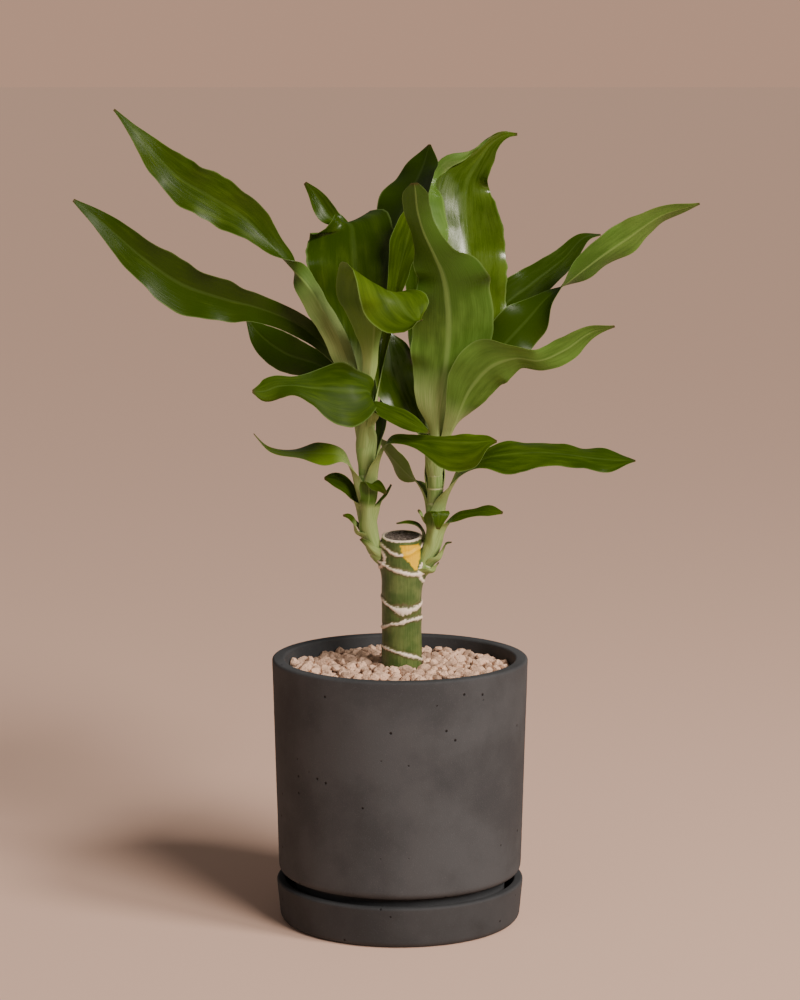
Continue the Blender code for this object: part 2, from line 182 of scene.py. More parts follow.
def calculate(tree, operation, first, second):
    node = addNode(tree, "ShaderNodeMath", operation=operation)
    for socket, value in zip(node.inputs, (first, second)):
        if isinstance(value, bpy.types.NodeSocket):
            tree.links.new(value, socket)
        else:
            socket.default_value = value
    return node.outputs[0]


def startGroup(name, inputs, outputs):
    # a shader node group: inputs are (name, kind, value), outputs are the names of its numbers
    tree = bpy.data.node_groups.new(name, "ShaderNodeTree")
    for socketName, kind, value in inputs:
        socket = tree.interface.new_socket(socketName, in_out="INPUT", socket_type=kind)
        if value is not None:
            socket.default_value = value
    for socketName in outputs:
        tree.interface.new_socket(socketName, in_out="OUTPUT", socket_type="NodeSocketFloat")
    return tree, tree.nodes.new("NodeGroupInput"), tree.nodes.new("NodeGroupOutput")


def addShares(tree, first, firstShare, second, secondShare):
    # first times its share plus second times its share
    return calculate(tree, "ADD", calculate(tree, "MULTIPLY", first, firstShare),
                     calculate(tree, "MULTIPLY", second, secondShare))


def noise(tree, place, scale, detail, roughness=0.5):
    settings = {"Vector": place, "Scale": scale, "Detail": detail, "Roughness": roughness}
    return addNode(tree, "ShaderNodeTexNoise", settings).outputs["Fac"]


def stretch(tree, place, scale):
    return addNode(tree, "ShaderNodeMapping", {"Vector": place, "Scale": scale}).outputs[0]


def readPlace(tree):
    return addNode(tree, "ShaderNodeTexCoord").outputs["Object"]


def makeGrainGroup():
    # three sizes of noise on the given coordinates: clouds, grain and sparse round pits
    tree, given, result = startGroup(
        "grain",
        [("Place", "NodeSocketVector", None), ("Cloud Scale", "NodeSocketFloat", 20.0),
         ("Grain Scale", "NodeSocketFloat", 900.0), ("Pit Scale", "NodeSocketFloat", 160.0)],
        ["Clouds", "Grain", "Pits"],
    )
    place = given.outputs["Place"]
    spots = addNode(tree, "ShaderNodeTexVoronoi",
        {"Vector": place, "Scale": given.outputs["Pit Scale"]}).outputs
    # a spot's own colour picks one spot in ten, and the distance from its middle makes the pit round
    pick = addNode(tree, "ShaderNodeSeparateColor", {"Color": spots["Color"]}).outputs[0]
    pitShape = rescale(tree, spots["Distance"], 0.08, 0.2, 1.0, 0.0)
    values = {
        "Clouds": noise(tree, place, given.outputs["Cloud Scale"], 5.0, 0.6),
        "Grain": noise(tree, place, given.outputs["Grain Scale"], 3.0, 0.7),
        "Pits": calculate(tree, "MULTIPLY", pitShape, calculate(tree, "GREATER_THAN", pick, 0.9)),
    }
    for label, value in values.items():
        tree.links.new(value, result.inputs[label])
    return tree


def startMaterial(name, look):
    material = bpy.data.materials.new(name)
    material.use_nodes = True
    tree = material.node_tree
    shader = tree.nodes["Principled BSDF"]
    shader.inputs["Roughness"].default_value = look.get("roughness", 0.5)
    shader.inputs["Specular IOR Level"].default_value = look.get("specular", 0.5)
    return material, tree, shader


def addBump(tree, shader, height, look):
    inputs = {"Height": height, "Strength": look["bumpStrength"], "Distance": look["bumpDistance"]}
    tree.links.new(addNode(tree, "ShaderNodeBump", inputs).outputs["Normal"], shader.inputs["Normal"])


def useGrain(tree, look):
    inputs = {"Place": readPlace(tree), "Cloud Scale": look["cloudScale"], "Grain Scale": look["grainScale"]}
    if "pitScale" in look:
        inputs["Pit Scale"] = look["pitScale"]
    return addNode(tree, "ShaderNodeGroup", inputs, node_tree=grainGroup).outputs


def readMark(tree, name):
    return addNode(tree, "ShaderNodeAttribute", attribute_name=name).outputs["Fac"]


# dark cast concrete: cloudy patches, fine sand grain and a few pinholes
concreteLook = {
    "dark": (0.048, 0.050, 0.053), "pale": (0.070, 0.073, 0.077), "pit": (0.008, 0.007, 0.007),
    "cloudScale": 17.0, "grainScale": 1500.0, "pitScale": 190.0,
    "patchRange": (0.36, 0.64), "sandRange": (0.56, 0.72), "sandShare": 0.35,
    "sandTone": 1.9,  # how much paler than the pale patches a sand grain is
    "roughness": 0.82, "specular": 0.35,
    "sandHeight": 0.35, "pitDepth": 2.0, "bumpDistance": 0.0004, "bumpStrength": 0.6,
}


def makeConcrete(name, shade):
    look = concreteLook
    material, tree, shader = startMaterial(name, look)
    grain = useGrain(tree, look)
    dark, pale = [tuple(channel * shade for channel in look[tone]) for tone in ("dark", "pale")]
    body = blendColour(tree, rescale(tree, grain["Clouds"], *look["patchRange"]), dark, pale)
    sand = rescale(tree, grain["Grain"], *look["sandRange"], 0.0, look["sandShare"])
    speckled = blendColour(tree, sand, body, tuple(channel * look["sandTone"] for channel in pale))
    tree.links.new(blendColour(tree, grain["Pits"], speckled, look["pit"]), shader.inputs["Base Color"])
    sandHeight = calculate(tree, "MULTIPLY", grain["Grain"], look["sandHeight"])
    pitDepth = calculate(tree, "MULTIPLY", grain["Pits"], look["pitDepth"])
    addBump(tree, shader, calculate(tree, "SUBTRACT", sandHeight, pitDepth), look)
    return material


# pumice: each stone has its own tint, darkened on its lower side by painted shade, with pores all over
pumiceLook = {
    "dark": (0.20, 0.125, 0.085), "pale": (0.98, 0.66, 0.47), "pore": (0.12, 0.07, 0.045),
    "cloudScale": 260.0, "grainScale": 900.0,
    "cloudRange": (0.35, 0.7), "cloudShare": 0.45, "poreRange": (0.42, 0.3), "poreShare": 0.8,
    "roughness": 0.95, "specular": 0.2, "bumpDistance": 0.0011, "bumpStrength": 1.0,
}


def makePumice():
    look = pumiceLook
    material, tree, shader = startMaterial("pumiceStone", look)
    grain = useGrain(tree, look)
    # the tint mark holds each stone's own tone times a painted shade on its lower half
    body = blendColour(tree, readMark(tree, "tintAndPaintedShade"), look["dark"], look["pale"])
    clouds = rescale(tree, grain["Clouds"], *look["cloudRange"], 0.0, look["cloudShare"])
    cloudy = blendColour(tree, clouds, body, look["pale"])
    pores = calculate(tree, "MULTIPLY", rescale(tree, grain["Grain"], *look["poreRange"]), look["poreShare"])
    tree.links.new(blendColour(tree, pores, cloudy, look["pore"]), shader.inputs["Base Color"])
    addBump(tree, shader, calculate(tree, "ADD", grain["Grain"], grain["Clouds"]), look)
    return material


# growing medium: dark crumbs, seen only between the stones
soilLook = {
    "dark": (0.02, 0.013, 0.009), "pale": (0.12, 0.08, 0.05), "cloudScale": 150.0, "grainScale": 700.0,
    "roughness": 0.95, "bumpDistance": 0.0015, "bumpStrength": 1.0,
}


def makeSoil():
    material, tree, shader = startMaterial("growingMedium", soilLook)
    grain = useGrain(tree, soilLook)
    colour = blendColour(tree, grain["Clouds"], soilLook["dark"], soilLook["pale"])
    tree.links.new(colour, shader.inputs["Base Color"])
    addBump(tree, shader, grain["Grain"], soilLook)
    return material


# bark: green with fine upright fibres, pale corky scars, a yellow worn patch, dark cut end with a pale rim
barkLook = {
    "green": (0.058, 0.105, 0.022), "olive": (0.125, 0.170, 0.046), "streak": (0.20, 0.25, 0.09),
    "scar": (0.92, 0.76, 0.60), "scarEdge": (0.12, 0.075, 0.035), "yellow": (0.86, 0.50, 0.0),
    "cutDark": (0.04, 0.029, 0.023), "cutPale": (0.85, 0.70, 0.60),
    "fibreStretch": (1.0, 1.0, 0.09), "fibreScale": 900.0, "patchScale": 110.0, "endScale": 1400.0,
    "patchRange": (0.38, 0.68), "streakRange": (0.5, 0.75), "streakShare": 0.3, "endRange": (0.52, 0.66),
    "barkRoughness": 0.42, "cutRoughness": 0.9,
    "cutHeight": 3.0, "bumpDistance": 0.0005, "bumpStrength": 0.6,
}


def makeBark():
    look = barkLook
    material, tree, shader = startMaterial("caneBark", look)
    place = readPlace(tree)
    fibre = noise(tree, stretch(tree, place, look["fibreStretch"]), look["fibreScale"], 4.0, 0.65)
    patches = noise(tree, place, look["patchScale"], 4.0)
    body = blendColour(tree, rescale(tree, patches, *look["patchRange"]), look["green"], look["olive"])
    streaks = rescale(tree, fibre, *look["streakRange"], 0.0, look["streakShare"])
    colour = blendColour(tree, streaks, body, look["streak"])
    for mark, tone in (("scarEdge", "scarEdge"), ("scar", "scar"), ("worn", "yellow")):
        colour = blendColour(tree, readMark(tree, mark), colour, look[tone])
    ends = noise(tree, place, look["endScale"], 3.0, 0.8)
    face = blendColour(tree, rescale(tree, ends, *look["endRange"]), look["cutDark"], look["cutPale"])
    cut = readMark(tree, "cut")
    tree.links.new(blendColour(tree, cut, colour, face), shader.inputs["Base Color"])
    roughness = rescale(tree, cut, 0.0, 1.0, look["barkRoughness"], look["cutRoughness"])
    tree.links.new(roughness, shader.inputs["Roughness"])
    grit = calculate(tree, "MULTIPLY", calculate(tree, "MULTIPLY", ends, cut), look["cutHeight"])
    addBump(tree, shader, calculate(tree, "ADD", fibre, grit), look)
    return material


# leaves: deep glossy upper face, satin olive underside, both paling towards the sheath
leafLook = {
    "upper": {"deep": (0.024, 0.052, 0.001), "fresh": (0.082, 0.142, 0.004), "satin": 0.36, "midrib": 0.08},
    "under": {"deep": (0.046, 0.106, 0.010), "fresh": (0.120, 0.228, 0.034), "satin": 0.46, "midrib": 0.5},
    "sheath": (0.22, 0.34, 0.09), "cream": (0.42, 0.52, 0.20), "dryTip": (0.07, 0.045, 0.015),
    "streakShare": 0.75, "stripeShare": 0.25, "toneRange": (0.25, 0.95), "creamRange": (0.15, 0.95),
    # edgeHighlightShare is the strength of the painted highlight along the margins
    "edgeHighlightShare": 0.35, "satinRange": (-0.04, 0.1), "shineShare": 0.1,
    "specular": 0.2, "coatRoughness": 0.26, "leastCoat": 0.04,
    "stripeHeight": 0.22, "rippleHeight": 0.45, "bumpDistance": 0.0014, "bumpStrength": 0.45,
}


def makeVeinGroup():
    # on the leaf's plan (u across, v along): fine stripes and broad streaks that run along it, a slow ripple,
    # the line of the midrib and a thin painted highlight along both margins, from the distance to u = 0.5
    tree, given, result = startGroup(
        "veins", [("Plan", "NodeSocketVector", None)], ["Stripes", "Streaks", "Midrib", "Ripple", "EdgeHighlight"])
    plan = given.outputs["Plan"]
    across = addNode(tree, "ShaderNodeSeparateXYZ", {"Vector": plan}).outputs["X"]
    offset = calculate(tree, "ABSOLUTE", calculate(tree, "SUBTRACT", across, 0.5), 0.0)
    values = {
        "Stripes": noise(tree, stretch(tree, plan, (1.0, 0.02, 1.0)), 55.0, 2.0),
        "Streaks": noise(tree, stretch(tree, plan, (1.0, 0.12, 1.0)), 9.0, 3.0),
        "Ripple": noise(tree, plan, 2.2, 1.0),
        "Midrib": rescale(tree, offset, 0.012, 0.05, 1.0, 0.0),
        "EdgeHighlight": rescale(tree, offset, 0.472, 0.498),
    }
    for label, value in values.items():
        tree.links.new(value, result.inputs[label])
    return tree


def makeLeafMaterial(name, face):
    look = leafLook
    material, tree, shader = startMaterial(name, look)
    plan = addNode(tree, "ShaderNodeUVMap", uv_map="leafPlan").outputs["UV"]
    veins = addNode(tree, "ShaderNodeGroup", {"Plan": plan}, node_tree=veinGroup).outputs
    tone = addShares(tree, veins["Streaks"], look["streakShare"], veins["Stripes"], look["stripeShare"])
    # the freshness mark is partly the leaf's own tone and partly painted light and shade
    tone = rescale(tree, calculate(tree, "ADD", tone, readMark(tree, "freshnessWithPaintedShading")), *look["toneRange"])
    colour = blendColour(tree, tone, face["deep"], face["fresh"])
    # the margins are paled by a thin painted highlight, where a leaf's edge would catch light
    for line, share in (("Midrib", face["midrib"]), ("EdgeHighlight", look["edgeHighlightShare"])):
        colour = blendColour(tree, calculate(tree, "MULTIPLY", veins[line], share), colour, look["sheath"])
    creamy = rescale(tree, veins["Stripes"], *look["creamRange"])
    stalk = blendColour(tree, creamy, look["sheath"], look["cream"])
    colour = blendColour(tree, readMark(tree, "paleness"), colour, stalk)
    colour = blendColour(tree, readMark(tree, "dryness"), colour, look["dryTip"])
    tree.links.new(colour, shader.inputs["Base Color"])
    smoothest, roughest = (face["satin"] + change for change in look["satinRange"])
    satin = rescale(tree, veins["Streaks"], 0.2, 0.8, smoothest, roughest)
    shine = readMark(tree, "shine")
    glossier = calculate(tree, "MULTIPLY", shine, look["shineShare"])
    tree.links.new(calculate(tree, "SUBTRACT", satin, glossier), shader.inputs["Roughness"])
    height = addShares(tree, veins["Stripes"], look["stripeHeight"], veins["Ripple"], look["rippleHeight"])
    addBump(tree, shader, height, look)
    # the coat lies in streaks along the leaf, stronger on the leaves that leafShine names
    coat = calculate(tree, "MULTIPLY", shine, rescale(tree, veins["Streaks"], 0.35, 0.62, 0.2, 1.5))
    tree.links.new(calculate(tree, "MAXIMUM", coat, look["leastCoat"]), shader.inputs["Coat Weight"])
    shader.inputs["Coat Roughness"].default_value = look["coatRoughness"]
    return material


# stems: fresh green with fine upright fibres and a pale ring at each joint
stemLook = {
    "green": (0.20, 0.335, 0.08), "pale": (0.35, 0.48, 0.16), "joint": (0.62, 0.60, 0.34),
    "fibreStretch": (1.0, 1.0, 0.12), "fibreScale": 700.0, "fibreRange": (0.35, 0.7),
    "roughness": 0.45, "bumpDistance": 0.0003, "bumpStrength": 0.5,
}


def makeShootSkin():
    look = stemLook
    material, tree, shader = startMaterial("stemSkin", look)
    fibre = noise(tree, stretch(tree, readPlace(tree), look["fibreStretch"]), look["fibreScale"], 3.0)
    body = blendColour(tree, rescale(tree, fibre, *look["fibreRange"]), look["green"], look["pale"])
    tree.links.new(blendColour(tree, readMark(tree, "joint"), body, look["joint"]),
        shader.inputs["Base Color"])
    addBump(tree, shader, fibre, look)
    return material


potShape = {
    "rimRadius": 75.0, "rimHeight": 156.0, "wall": 7.5, "lip": 1.6,
    "bodyRadius": 71.6, "bodyBottom": 28.0, "bodyEdge": 5.0,
    "footRadius": 62.0, "footBottom": 8.3, "floor": 18.0,
    "innerRadius": 64.0, "shoulder": 40.0, "footInner": 54.0, "drain": 7.5,
    "unevenness": 0.12, "chamfer": 1.0, "innerEdge": 5.0, "spacing": 4.0, "segments": 224,
}
saucerShape = {
    "radius": 72.8, "baseRadius": 71.0, "height": 24.2, "floor": 8.0, "wall": 5.5,
    "edge": 4.0, "lip": 1.5, "unevenness": 0.12, "middle": 0.05, "spacing": 4.0, "segments": 224,
}


def buildPot(material):
    # outline from the drain hole out under the foot, up the outside, over the rim and down the inside
    s = potShape
    inner = s["rimRadius"] - s["wall"]
    outline = [(s["drain"], s["footBottom"]), (s["footRadius"] - s["chamfer"], s["footBottom"]),
        (s["footRadius"], s["footBottom"] + s["chamfer"])]
    outline += [(s["footRadius"], s["bodyBottom"] - s["chamfer"]),
        (s["footRadius"] + s["chamfer"], s["bodyBottom"])]
    outline += arc((s["bodyRadius"] - s["bodyEdge"], s["bodyBottom"] + s["bodyEdge"]), s["bodyEdge"], -90, 0,
        10)
    outline += arc((s["rimRadius"] - s["lip"], s["rimHeight"] - s["lip"]), s["lip"], 0, 90, 8)
    outline += arc((inner + s["lip"], s["rimHeight"] - s["lip"]), s["lip"], 90, 180, 8)
    outline += arc((s["innerRadius"] - s["innerEdge"], s["shoulder"]), s["innerEdge"], 0, -90, 5)
    outline += [(s["footInner"], s["shoulder"] - s["innerEdge"]), (s["footInner"], s["floor"]),
        (s["drain"], s["floor"]), (s["drain"], s["footBottom"])]
    rings = turned(finelySpaced(outline, s["spacing"])[:-1], s["segments"])
    rings = roughen(rings, s["unevenness"])
    return makePiece("concretePot", rings.reshape(-1, 3), ringFaces(*rings.shape[:2], closed=True),
        [material], "pot")


def buildSaucer(material):
    # outline from the middle of the underside out, up over the rim and back to the middle of the floor
    s = saucerShape
    inner = s["radius"] - s["wall"]
    outline = [(s["middle"], 0.0)]
    outline += arc((s["baseRadius"] - s["edge"], s["edge"]), s["edge"], -90, 0, 8)
    outline += arc((s["radius"] - s["lip"], s["height"] - s["lip"]), s["lip"], 0, 90, 8)
    outline += arc((inner + s["lip"], s["height"] - s["lip"]), s["lip"], 90, 180, 8)
    outline += arc((inner - s["edge"] - 0.5, s["floor"] + s["edge"]), s["edge"], 0, -90, 6)
    outline += [(s["middle"], s["floor"])]
    rings = turned(finelySpaced(outline, s["spacing"]), s["segments"])
    rings[1:-1] = roughen(rings[1:-1], s["unevenness"])
    points, faces = capEnds(rings)
    return makePiece("concreteSaucer", points, faces, [material], "saucer")


def roughen(rings, amount):
    # moves each point a hair in or out: a long swell and a short one added
    shift = amount * (swell(rings, 60.0, 3) + 0.5 * swell(rings, 9.0, 4, 2))
    outward = unit(rings * (1.0, 1.0, 0.0))
    return rings + outward * shift[..., None]


def capEnds(rings, startPoint=None, endPoint=None):
    # closes the first and last ring with a fan to a middle point
    count, columns = rings.shape[:2]
    middle = np.stack((rings[0].mean(0) if startPoint is None else startPoint,
        rings[-1].mean(0) if endPoint is None else endPoint))
    points = np.concatenate((rings.reshape(-1, 3), middle))
    low = count * columns
    column = np.arange(columns)
    following = (column + 1) % columns
    start = np.stack((following, column, np.full(columns, low)), 1)
    end = np.stack((low - columns + column, low - columns + following, np.full(columns, low + 1)), 1)
    return points, ringFaces(count, columns).tolist() + start.tolist() + end.tolist()


stoneShape = {
    "count": 340, "underCount": 260, "smallest": 2.4, "largest": 4.4, "edgeHeight": 149.0,
        "crownHeight": 152.8,
    "caneX": 1.0, "caneClear": 12.6, "cuts": 9, "bedHeight": 142.5,
}


def innerRadiusAt(height):
    # the inside wall is straight between the shoulder and the lip
    s = potShape
    share = (height - s["shoulder"]) / (s["rimHeight"] - s["lip"] - s["shoulder"])
    return s["innerRadius"] + share * (s["rimRadius"] - s["wall"] - s["innerRadius"])


def topOfStones(radius):
    # the mound falls from the crown to the edge with the radius to the power 1.3
    share = np.clip(radius / 66.0, 0.0, 1.0)
    return stoneShape["crownHeight"] + (stoneShape["edgeHeight"] - stoneShape["crownHeight"]) * share**1.3


def scatterStones(count, sizes, rng):
    # start at even spots on a disc, then push pairs that overlap apart and keep clear of the cane and the
    # wall
    turn = np.arange(count) * 2.39996
    outer = innerRadiusAt(148.0) - 0.4
    spots = np.sqrt((np.arange(count) + 0.5) / count)[:,
        None] * outer * np.stack((np.cos(turn), np.sin(turn)), 1)
    spots += rng.normal(size=spots.shape)
    cane = np.array((stoneShape["caneX"], 0.0))
    for _ in range(60):
        apart = spots[:, None] - spots[None, :]
        distance = np.linalg.norm(apart, axis=2) + np.eye(count) * 1e6
        overlap = np.clip(0.95 * (sizes[:, None] + sizes[None, :]) - distance, 0.0, None)
        spots += 0.3 * (apart / distance[..., None] * overlap[..., None]).sum(1)
        fromCane = spots - cane
        reach = np.linalg.norm(fromCane, axis=1, keepdims=True)
        spots = cane + fromCane / reach * np.maximum(reach, stoneShape["caneClear"] + 0.75 * sizes[:, None])
        reach = np.linalg.norm(spots, axis=1, keepdims=True)
        spots = spots / reach * np.minimum(reach, outer - 0.9 * sizes[:, None])
    return spots


def buildStones(material):
    # every stone is a ball cut by random planes, stretched, turned and set down on the mound
    rng = np.random.default_rng(11)
    ball = bmeshBall(2)
    layers = []
    for count, drop in ((stoneShape["underCount"], 5.0), (stoneShape["count"], 0.0)):
        sizes = stoneShape["smallest"] + (stoneShape["largest"]
            - stoneShape["smallest"]) * rng.random(count) ** 1.5
        spots = scatterStones(count, sizes, rng)
        height = topOfStones(np.linalg.norm(spots,
            axis=1)) - 0.7 * sizes - drop + rng.normal(size=count) * 0.8
        layers.append(np.column_stack((spots, height, sizes)))
    layers = np.concatenate(layers)
    total = len(layers)
    planes = unit(rng.normal(size=(total, stoneShape["cuts"], 3)))
    depth = rng.uniform(0.66, 0.95, size=(total, stoneShape["cuts"]))
    facing = np.maximum(np.einsum("spk,vk->spv", planes, ball[0]), 1e-6)
    shrink = np.minimum(1.0, (depth[..., None] / facing).min(1))
    shape = ball[0][None] * shrink[..., None] * rng.uniform(0.85, 1.3, size=(total, 1, 3))
    shape *= 1.0 + 0.075 * rng.normal(size=(total, len(ball[0]), 1))
    turns = np.linalg.qr(rng.normal(size=(total, 3, 3)))[0]
    turns *= np.sign(np.linalg.det(turns))[:, None, None]
    points = np.einsum("svk,sjk->svj", shape, turns) * layers[:, None, 3:4] + layers[:, None, :3]
    reach = np.linalg.norm(points[..., :2], axis=2, keepdims=True)
    points[..., :2] *= np.minimum(1.0, (innerRadiusAt(148.0) - 0.2) / reach)
    faces = (ball[1][None] + (np.arange(total) * len(ball[0]))[:, None, None]).reshape(-1, 3)
    # each stone has its own tint and is painted darker below, a painted shade standing in for the shadow in
    # the gaps between the stones
    level = (points[..., 2] - layers[:, None, 2]) / layers[:, None, 3]
    tintAndPaintedShade = np.clip(rng.normal(0.78, 0.26, (total, 1)), 0.0, 1.0) * ease(level, -0.45, 0.4)
    stones = makePiece("pumiceStones", points.reshape(-1, 3), faces, [material], "stones",
        marks={"tintAndPaintedShade": tintAndPaintedShade.ravel()})
    stones.data.set_sharp_from_angle(angle=math.radians(24))
    return stones


def bmeshBall(subdivisions):
    build = bmesh.new()
    bmesh.ops.create_icosphere(build, subdivisions=subdivisions, radius=1.0)
    points = np.array([tuple(vert.co) for vert in build.verts])
    faces = np.array([[vert.index for vert in face.verts] for face in build.faces])
    build.free()
    return points, faces


def buildBed(material):
    # what shows between the stones: a rough sheet just below them, and the medium's sides down to the pot's
    # floor
    s = potShape
    hole = 11.0
    outline = [(hole, 42.0), (hole, stoneShape["bedHeight"] + 1.5)]
    outline += [(radius, stoneShape["bedHeight"] + 1.5 * (1 - radius / 66)) for radius in (20.0, 30.0, 40.0,
        50.0, 60.0)]
    outline += [(innerRadiusAt(144.0) - 0.5, stoneShape["bedHeight"]), (s["innerRadius"] - 0.6, 42.0),
        (hole, 42.0)]
    fine = finelySpaced(outline, 3.0)[:-1][::-1]
    rings = turned(fine, 128)
    top = ease(rings[..., 2], 143.0, 144.5)
    rings[..., 2] += top * 0.7 * swell(rings, 5.0, 8, 2)
    return makePiece("growingMedium", rings.reshape(-1, 3), ringFaces(*rings.shape[:2], closed=True),
        [material], "soil")


caneShape = {
    "centreX": 1.0, "radius": 11.7, "bottom": 40.0, "top": 228.0, "slope": 8.0, "columns": 128,
    # ring scars: height at the right, back, left and front
    "scars": ((155.0, 157.0, 162.5, 160.0), (179.5, 176.0, 174.0, 178.5), (189.0, 190.0, 192.0, 185.0),
              (207.5, 212.0, 214.0, 207.6), (223.0, 221.5, 224.0, 218.0)),
    "scarHalf": 1.0, "scarRise": 0.8,
    "flake": {"bearing": -78.0, "ring": 2, "width": 26.0, "more": 2.2},  # a thick flaky patch on one ring
    "collarSpread": 36.0, "collarHeight": 6.0,  # pale ring round each swelling
    # swellings where a shoot leaves: bearing, height, how far out
    "swellings": ((180.0, 215.0, 3.2), (0.0, 207.0, 3.2)),
    "worn": {"bearing": -62.0, "width": 36.0, "top": 224.5, "bottom": 208.5},
}


def buildCane(material):
    # radius at (bearing, height): round, a little uneven, out at each scar and at each shoot
    s = caneShape
    turn = np.linspace(0.0, circle, s["columns"], endpoint=False)
    heights = np.r_[s["bottom"], 100.0, np.arange(140.0, s["top"] - 0.4, 0.55), s["top"] - 0.35, s["top"]
        - 0.08, s["top"]]
    bearing, height = np.meshgrid(turn, heights)
    around = np.stack((np.cos(bearing), np.sin(bearing), height / 30.0), -1)
    radius = s["radius"] + 0.28 * swell(around * 12.0, 14.0, 21) + 0.10 * swell(around * (12, 12, 2), 1.6,
        22, 2)
    scar = np.zeros_like(radius)
    edge = np.zeros_like(radius)
    for index, (right, back, left, front) in enumerate(s["scars"]):
        level = (right + back + left + front) / 4 + (right - left) / 2 * np.cos(bearing) + (back
            - front) / 2 * np.sin(bearing)
        level += (right + left - back - front) / 4 * np.cos(2 * bearing)
        level += 0.55 * swell(np.stack((np.cos(bearing), np.sin(bearing), 0 * bearing + index), -1) * 10.0,
            7.0, 30 + index, 3)
        half = s["scarHalf"] * (1.0 + 0.5 * swell(around[..., :3] * (10, 10, 0) + index, 6.0, 40 + index, 3))
        if index == s["flake"]["ring"]:
            fromFlake = np.degrees(np.angle(np.exp(1j * (bearing - math.radians(s["flake"]["bearing"])))))
            half = half * (1.0 + s["flake"]["more"] * np.exp(-((fromFlake / s["flake"]["width"]) ** 2)))
        offset = (height - level) / half
        radius += s["scarRise"] * np.exp(-offset**2) - 0.3 * np.exp(-((offset - 1.9) / 0.6) ** 2)
        ragged = 0.45 * swell(around * (14, 14, 60), 2.4, 50 + index, 3)
        scar = np.maximum(scar, 1.0 - ease(np.abs(offset) + ragged, 0.65, 1.05))
        edge = np.maximum(edge, np.exp(-((offset - 1.5) / 0.35) ** 2) + 0.7
            * np.exp(-((offset + 1.5) / 0.35) ** 2))
    for facing, level, out in s["swellings"]:
        apart = np.degrees(np.abs(np.angle(np.exp(1j * (bearing - math.radians(facing))))))
        radius += out * np.exp(-((apart / 30.0) ** 2) - ((height - level) / 7.0) ** 2)
        collar = np.abs(np.hypot(apart / s["collarSpread"], (height - level) / s["collarHeight"]) - 1.0)
        collar += 0.1 * swell(around * (14, 14, 60), 3.0, 65, 3)
        scar = np.maximum(scar, 1.0 - ease(collar, 0.08, 0.18))
        radius += 0.5 * np.exp(-((collar / 0.12) ** 2))
    shape = s["worn"]
    sideways = np.degrees(np.angle(np.exp(1j * (bearing - math.radians(shape["bearing"])))))
    taper = np.clip((height - shape["bottom"]) / (shape["top"] - shape["bottom"]), 0.0, 1.0)
    sideways = sideways - 16.0 * (1.0 - taper)
    limit = shape["width"] * (0.15 + 0.85 * ease(taper, 0.0, 0.7))
    ragged = 0.12 * swell(around * (14, 14, 40), 4.0, 60, 3)
    worn = (1.0 - ease(np.abs(sideways) / limit + ragged, 0.85, 1.0)) * ease(height, shape["bottom"],
        shape["bottom"] + 1.0)
    worn *= 1.0 - ease(height, shape["top"] - 0.8, shape["top"])
    scar = np.maximum(scar, ease(height + 0.8 * swell(around * (14, 14, 0), 4.0, 61, 3), s["top"] - 1.1,
        s["top"] - 0.6))
    radius -= 0.18 * worn + 1.0 * ease(height, s["top"] - 0.5, s["top"] + 0.05) ** 2
    tilt = math.tan(math.radians(s["slope"])) * ease(height, 222.5, s["top"])
    side = np.stack((s["centreX"] + radius * np.cos(bearing), radius * np.sin(bearing), height + tilt
        * radius * np.sin(bearing)), -1)
    # the cut face closes in rings towards its middle, roughened, sunk a little inside the rim
    shares = np.array((0.985, 0.96, 0.92, 0.86, 0.78, 0.68, 0.57, 0.45, 0.33, 0.21, 0.1))[:, None, None]
    middle = np.array((s["centreX"], 0.0, s["top"]))
    face = middle + (side[-1] - middle) * shares
    face[..., 2] -= 0.55 * ease(1.0 - shares[..., 0], 0.03, 0.1) - 0.38 * swell(face * (1, 1, 0), 2.6, 70,
        3) * ease(1.0 - shares[..., 0], 0.03, 0.1)
    rings = np.concatenate((side, face))
    points, faces = capEnds(rings)
    blank = np.zeros(face.shape[:2])
    inside = np.broadcast_to(ease(1.0 - shares[..., 0], 0.03, 0.09), blank.shape)
    rimPale = np.broadcast_to(1.0 - ease(1.0 - shares[..., 0], 0.03, 0.09), blank.shape) * 0.85
    keep = 1.0 - worn
    marks = {
        "scar": np.r_[np.concatenate((scar * keep, rimPale)).ravel(), 0.0, 0.0],
        "scarEdge": np.r_[np.concatenate((np.clip(edge, 0, 1) * keep * 0.8, blank)).ravel(), 0.0, 0.0],
        "worn": np.r_[np.concatenate((worn, blank)).ravel(), 0.0, 0.0],
        "cut": np.r_[np.concatenate((np.zeros_like(scar), inside)).ravel(), 0.0, 1.0],
    }
    return makePiece("caneWithScars", points, faces, [material], "cane", marks=marks)


# centre line of each shoot: x, y, z, radius
shootShape = {
    "left": ((-7.5, 0, 213.5, 5.4), (-12.0, 0, 216.5, 4.8), (-15.5, 0, 221, 4.2), (-18, 0, 228, 3.9),
        (-19, 0, 240, 4.0),
             (-19.5, 0, 255, 4.3), (-20, 0, 276, 4.5), (-20.5, 0, 294, 4.2), (-20.5, 0, 309, 2.6)),
    "right": ((8.5, 0, 206, 5.6), (13.5, 0, 209, 5.0), (16.8, 0, 214, 4.4), (19, 0, 223, 4.2),
    (20, 0, 236, 4.3),
              (20.5, 0, 254, 4.7), (20, 0, 270, 4.5), (20.5, 0, 283, 3.8), (21, 0, 292, 2.6)),
}


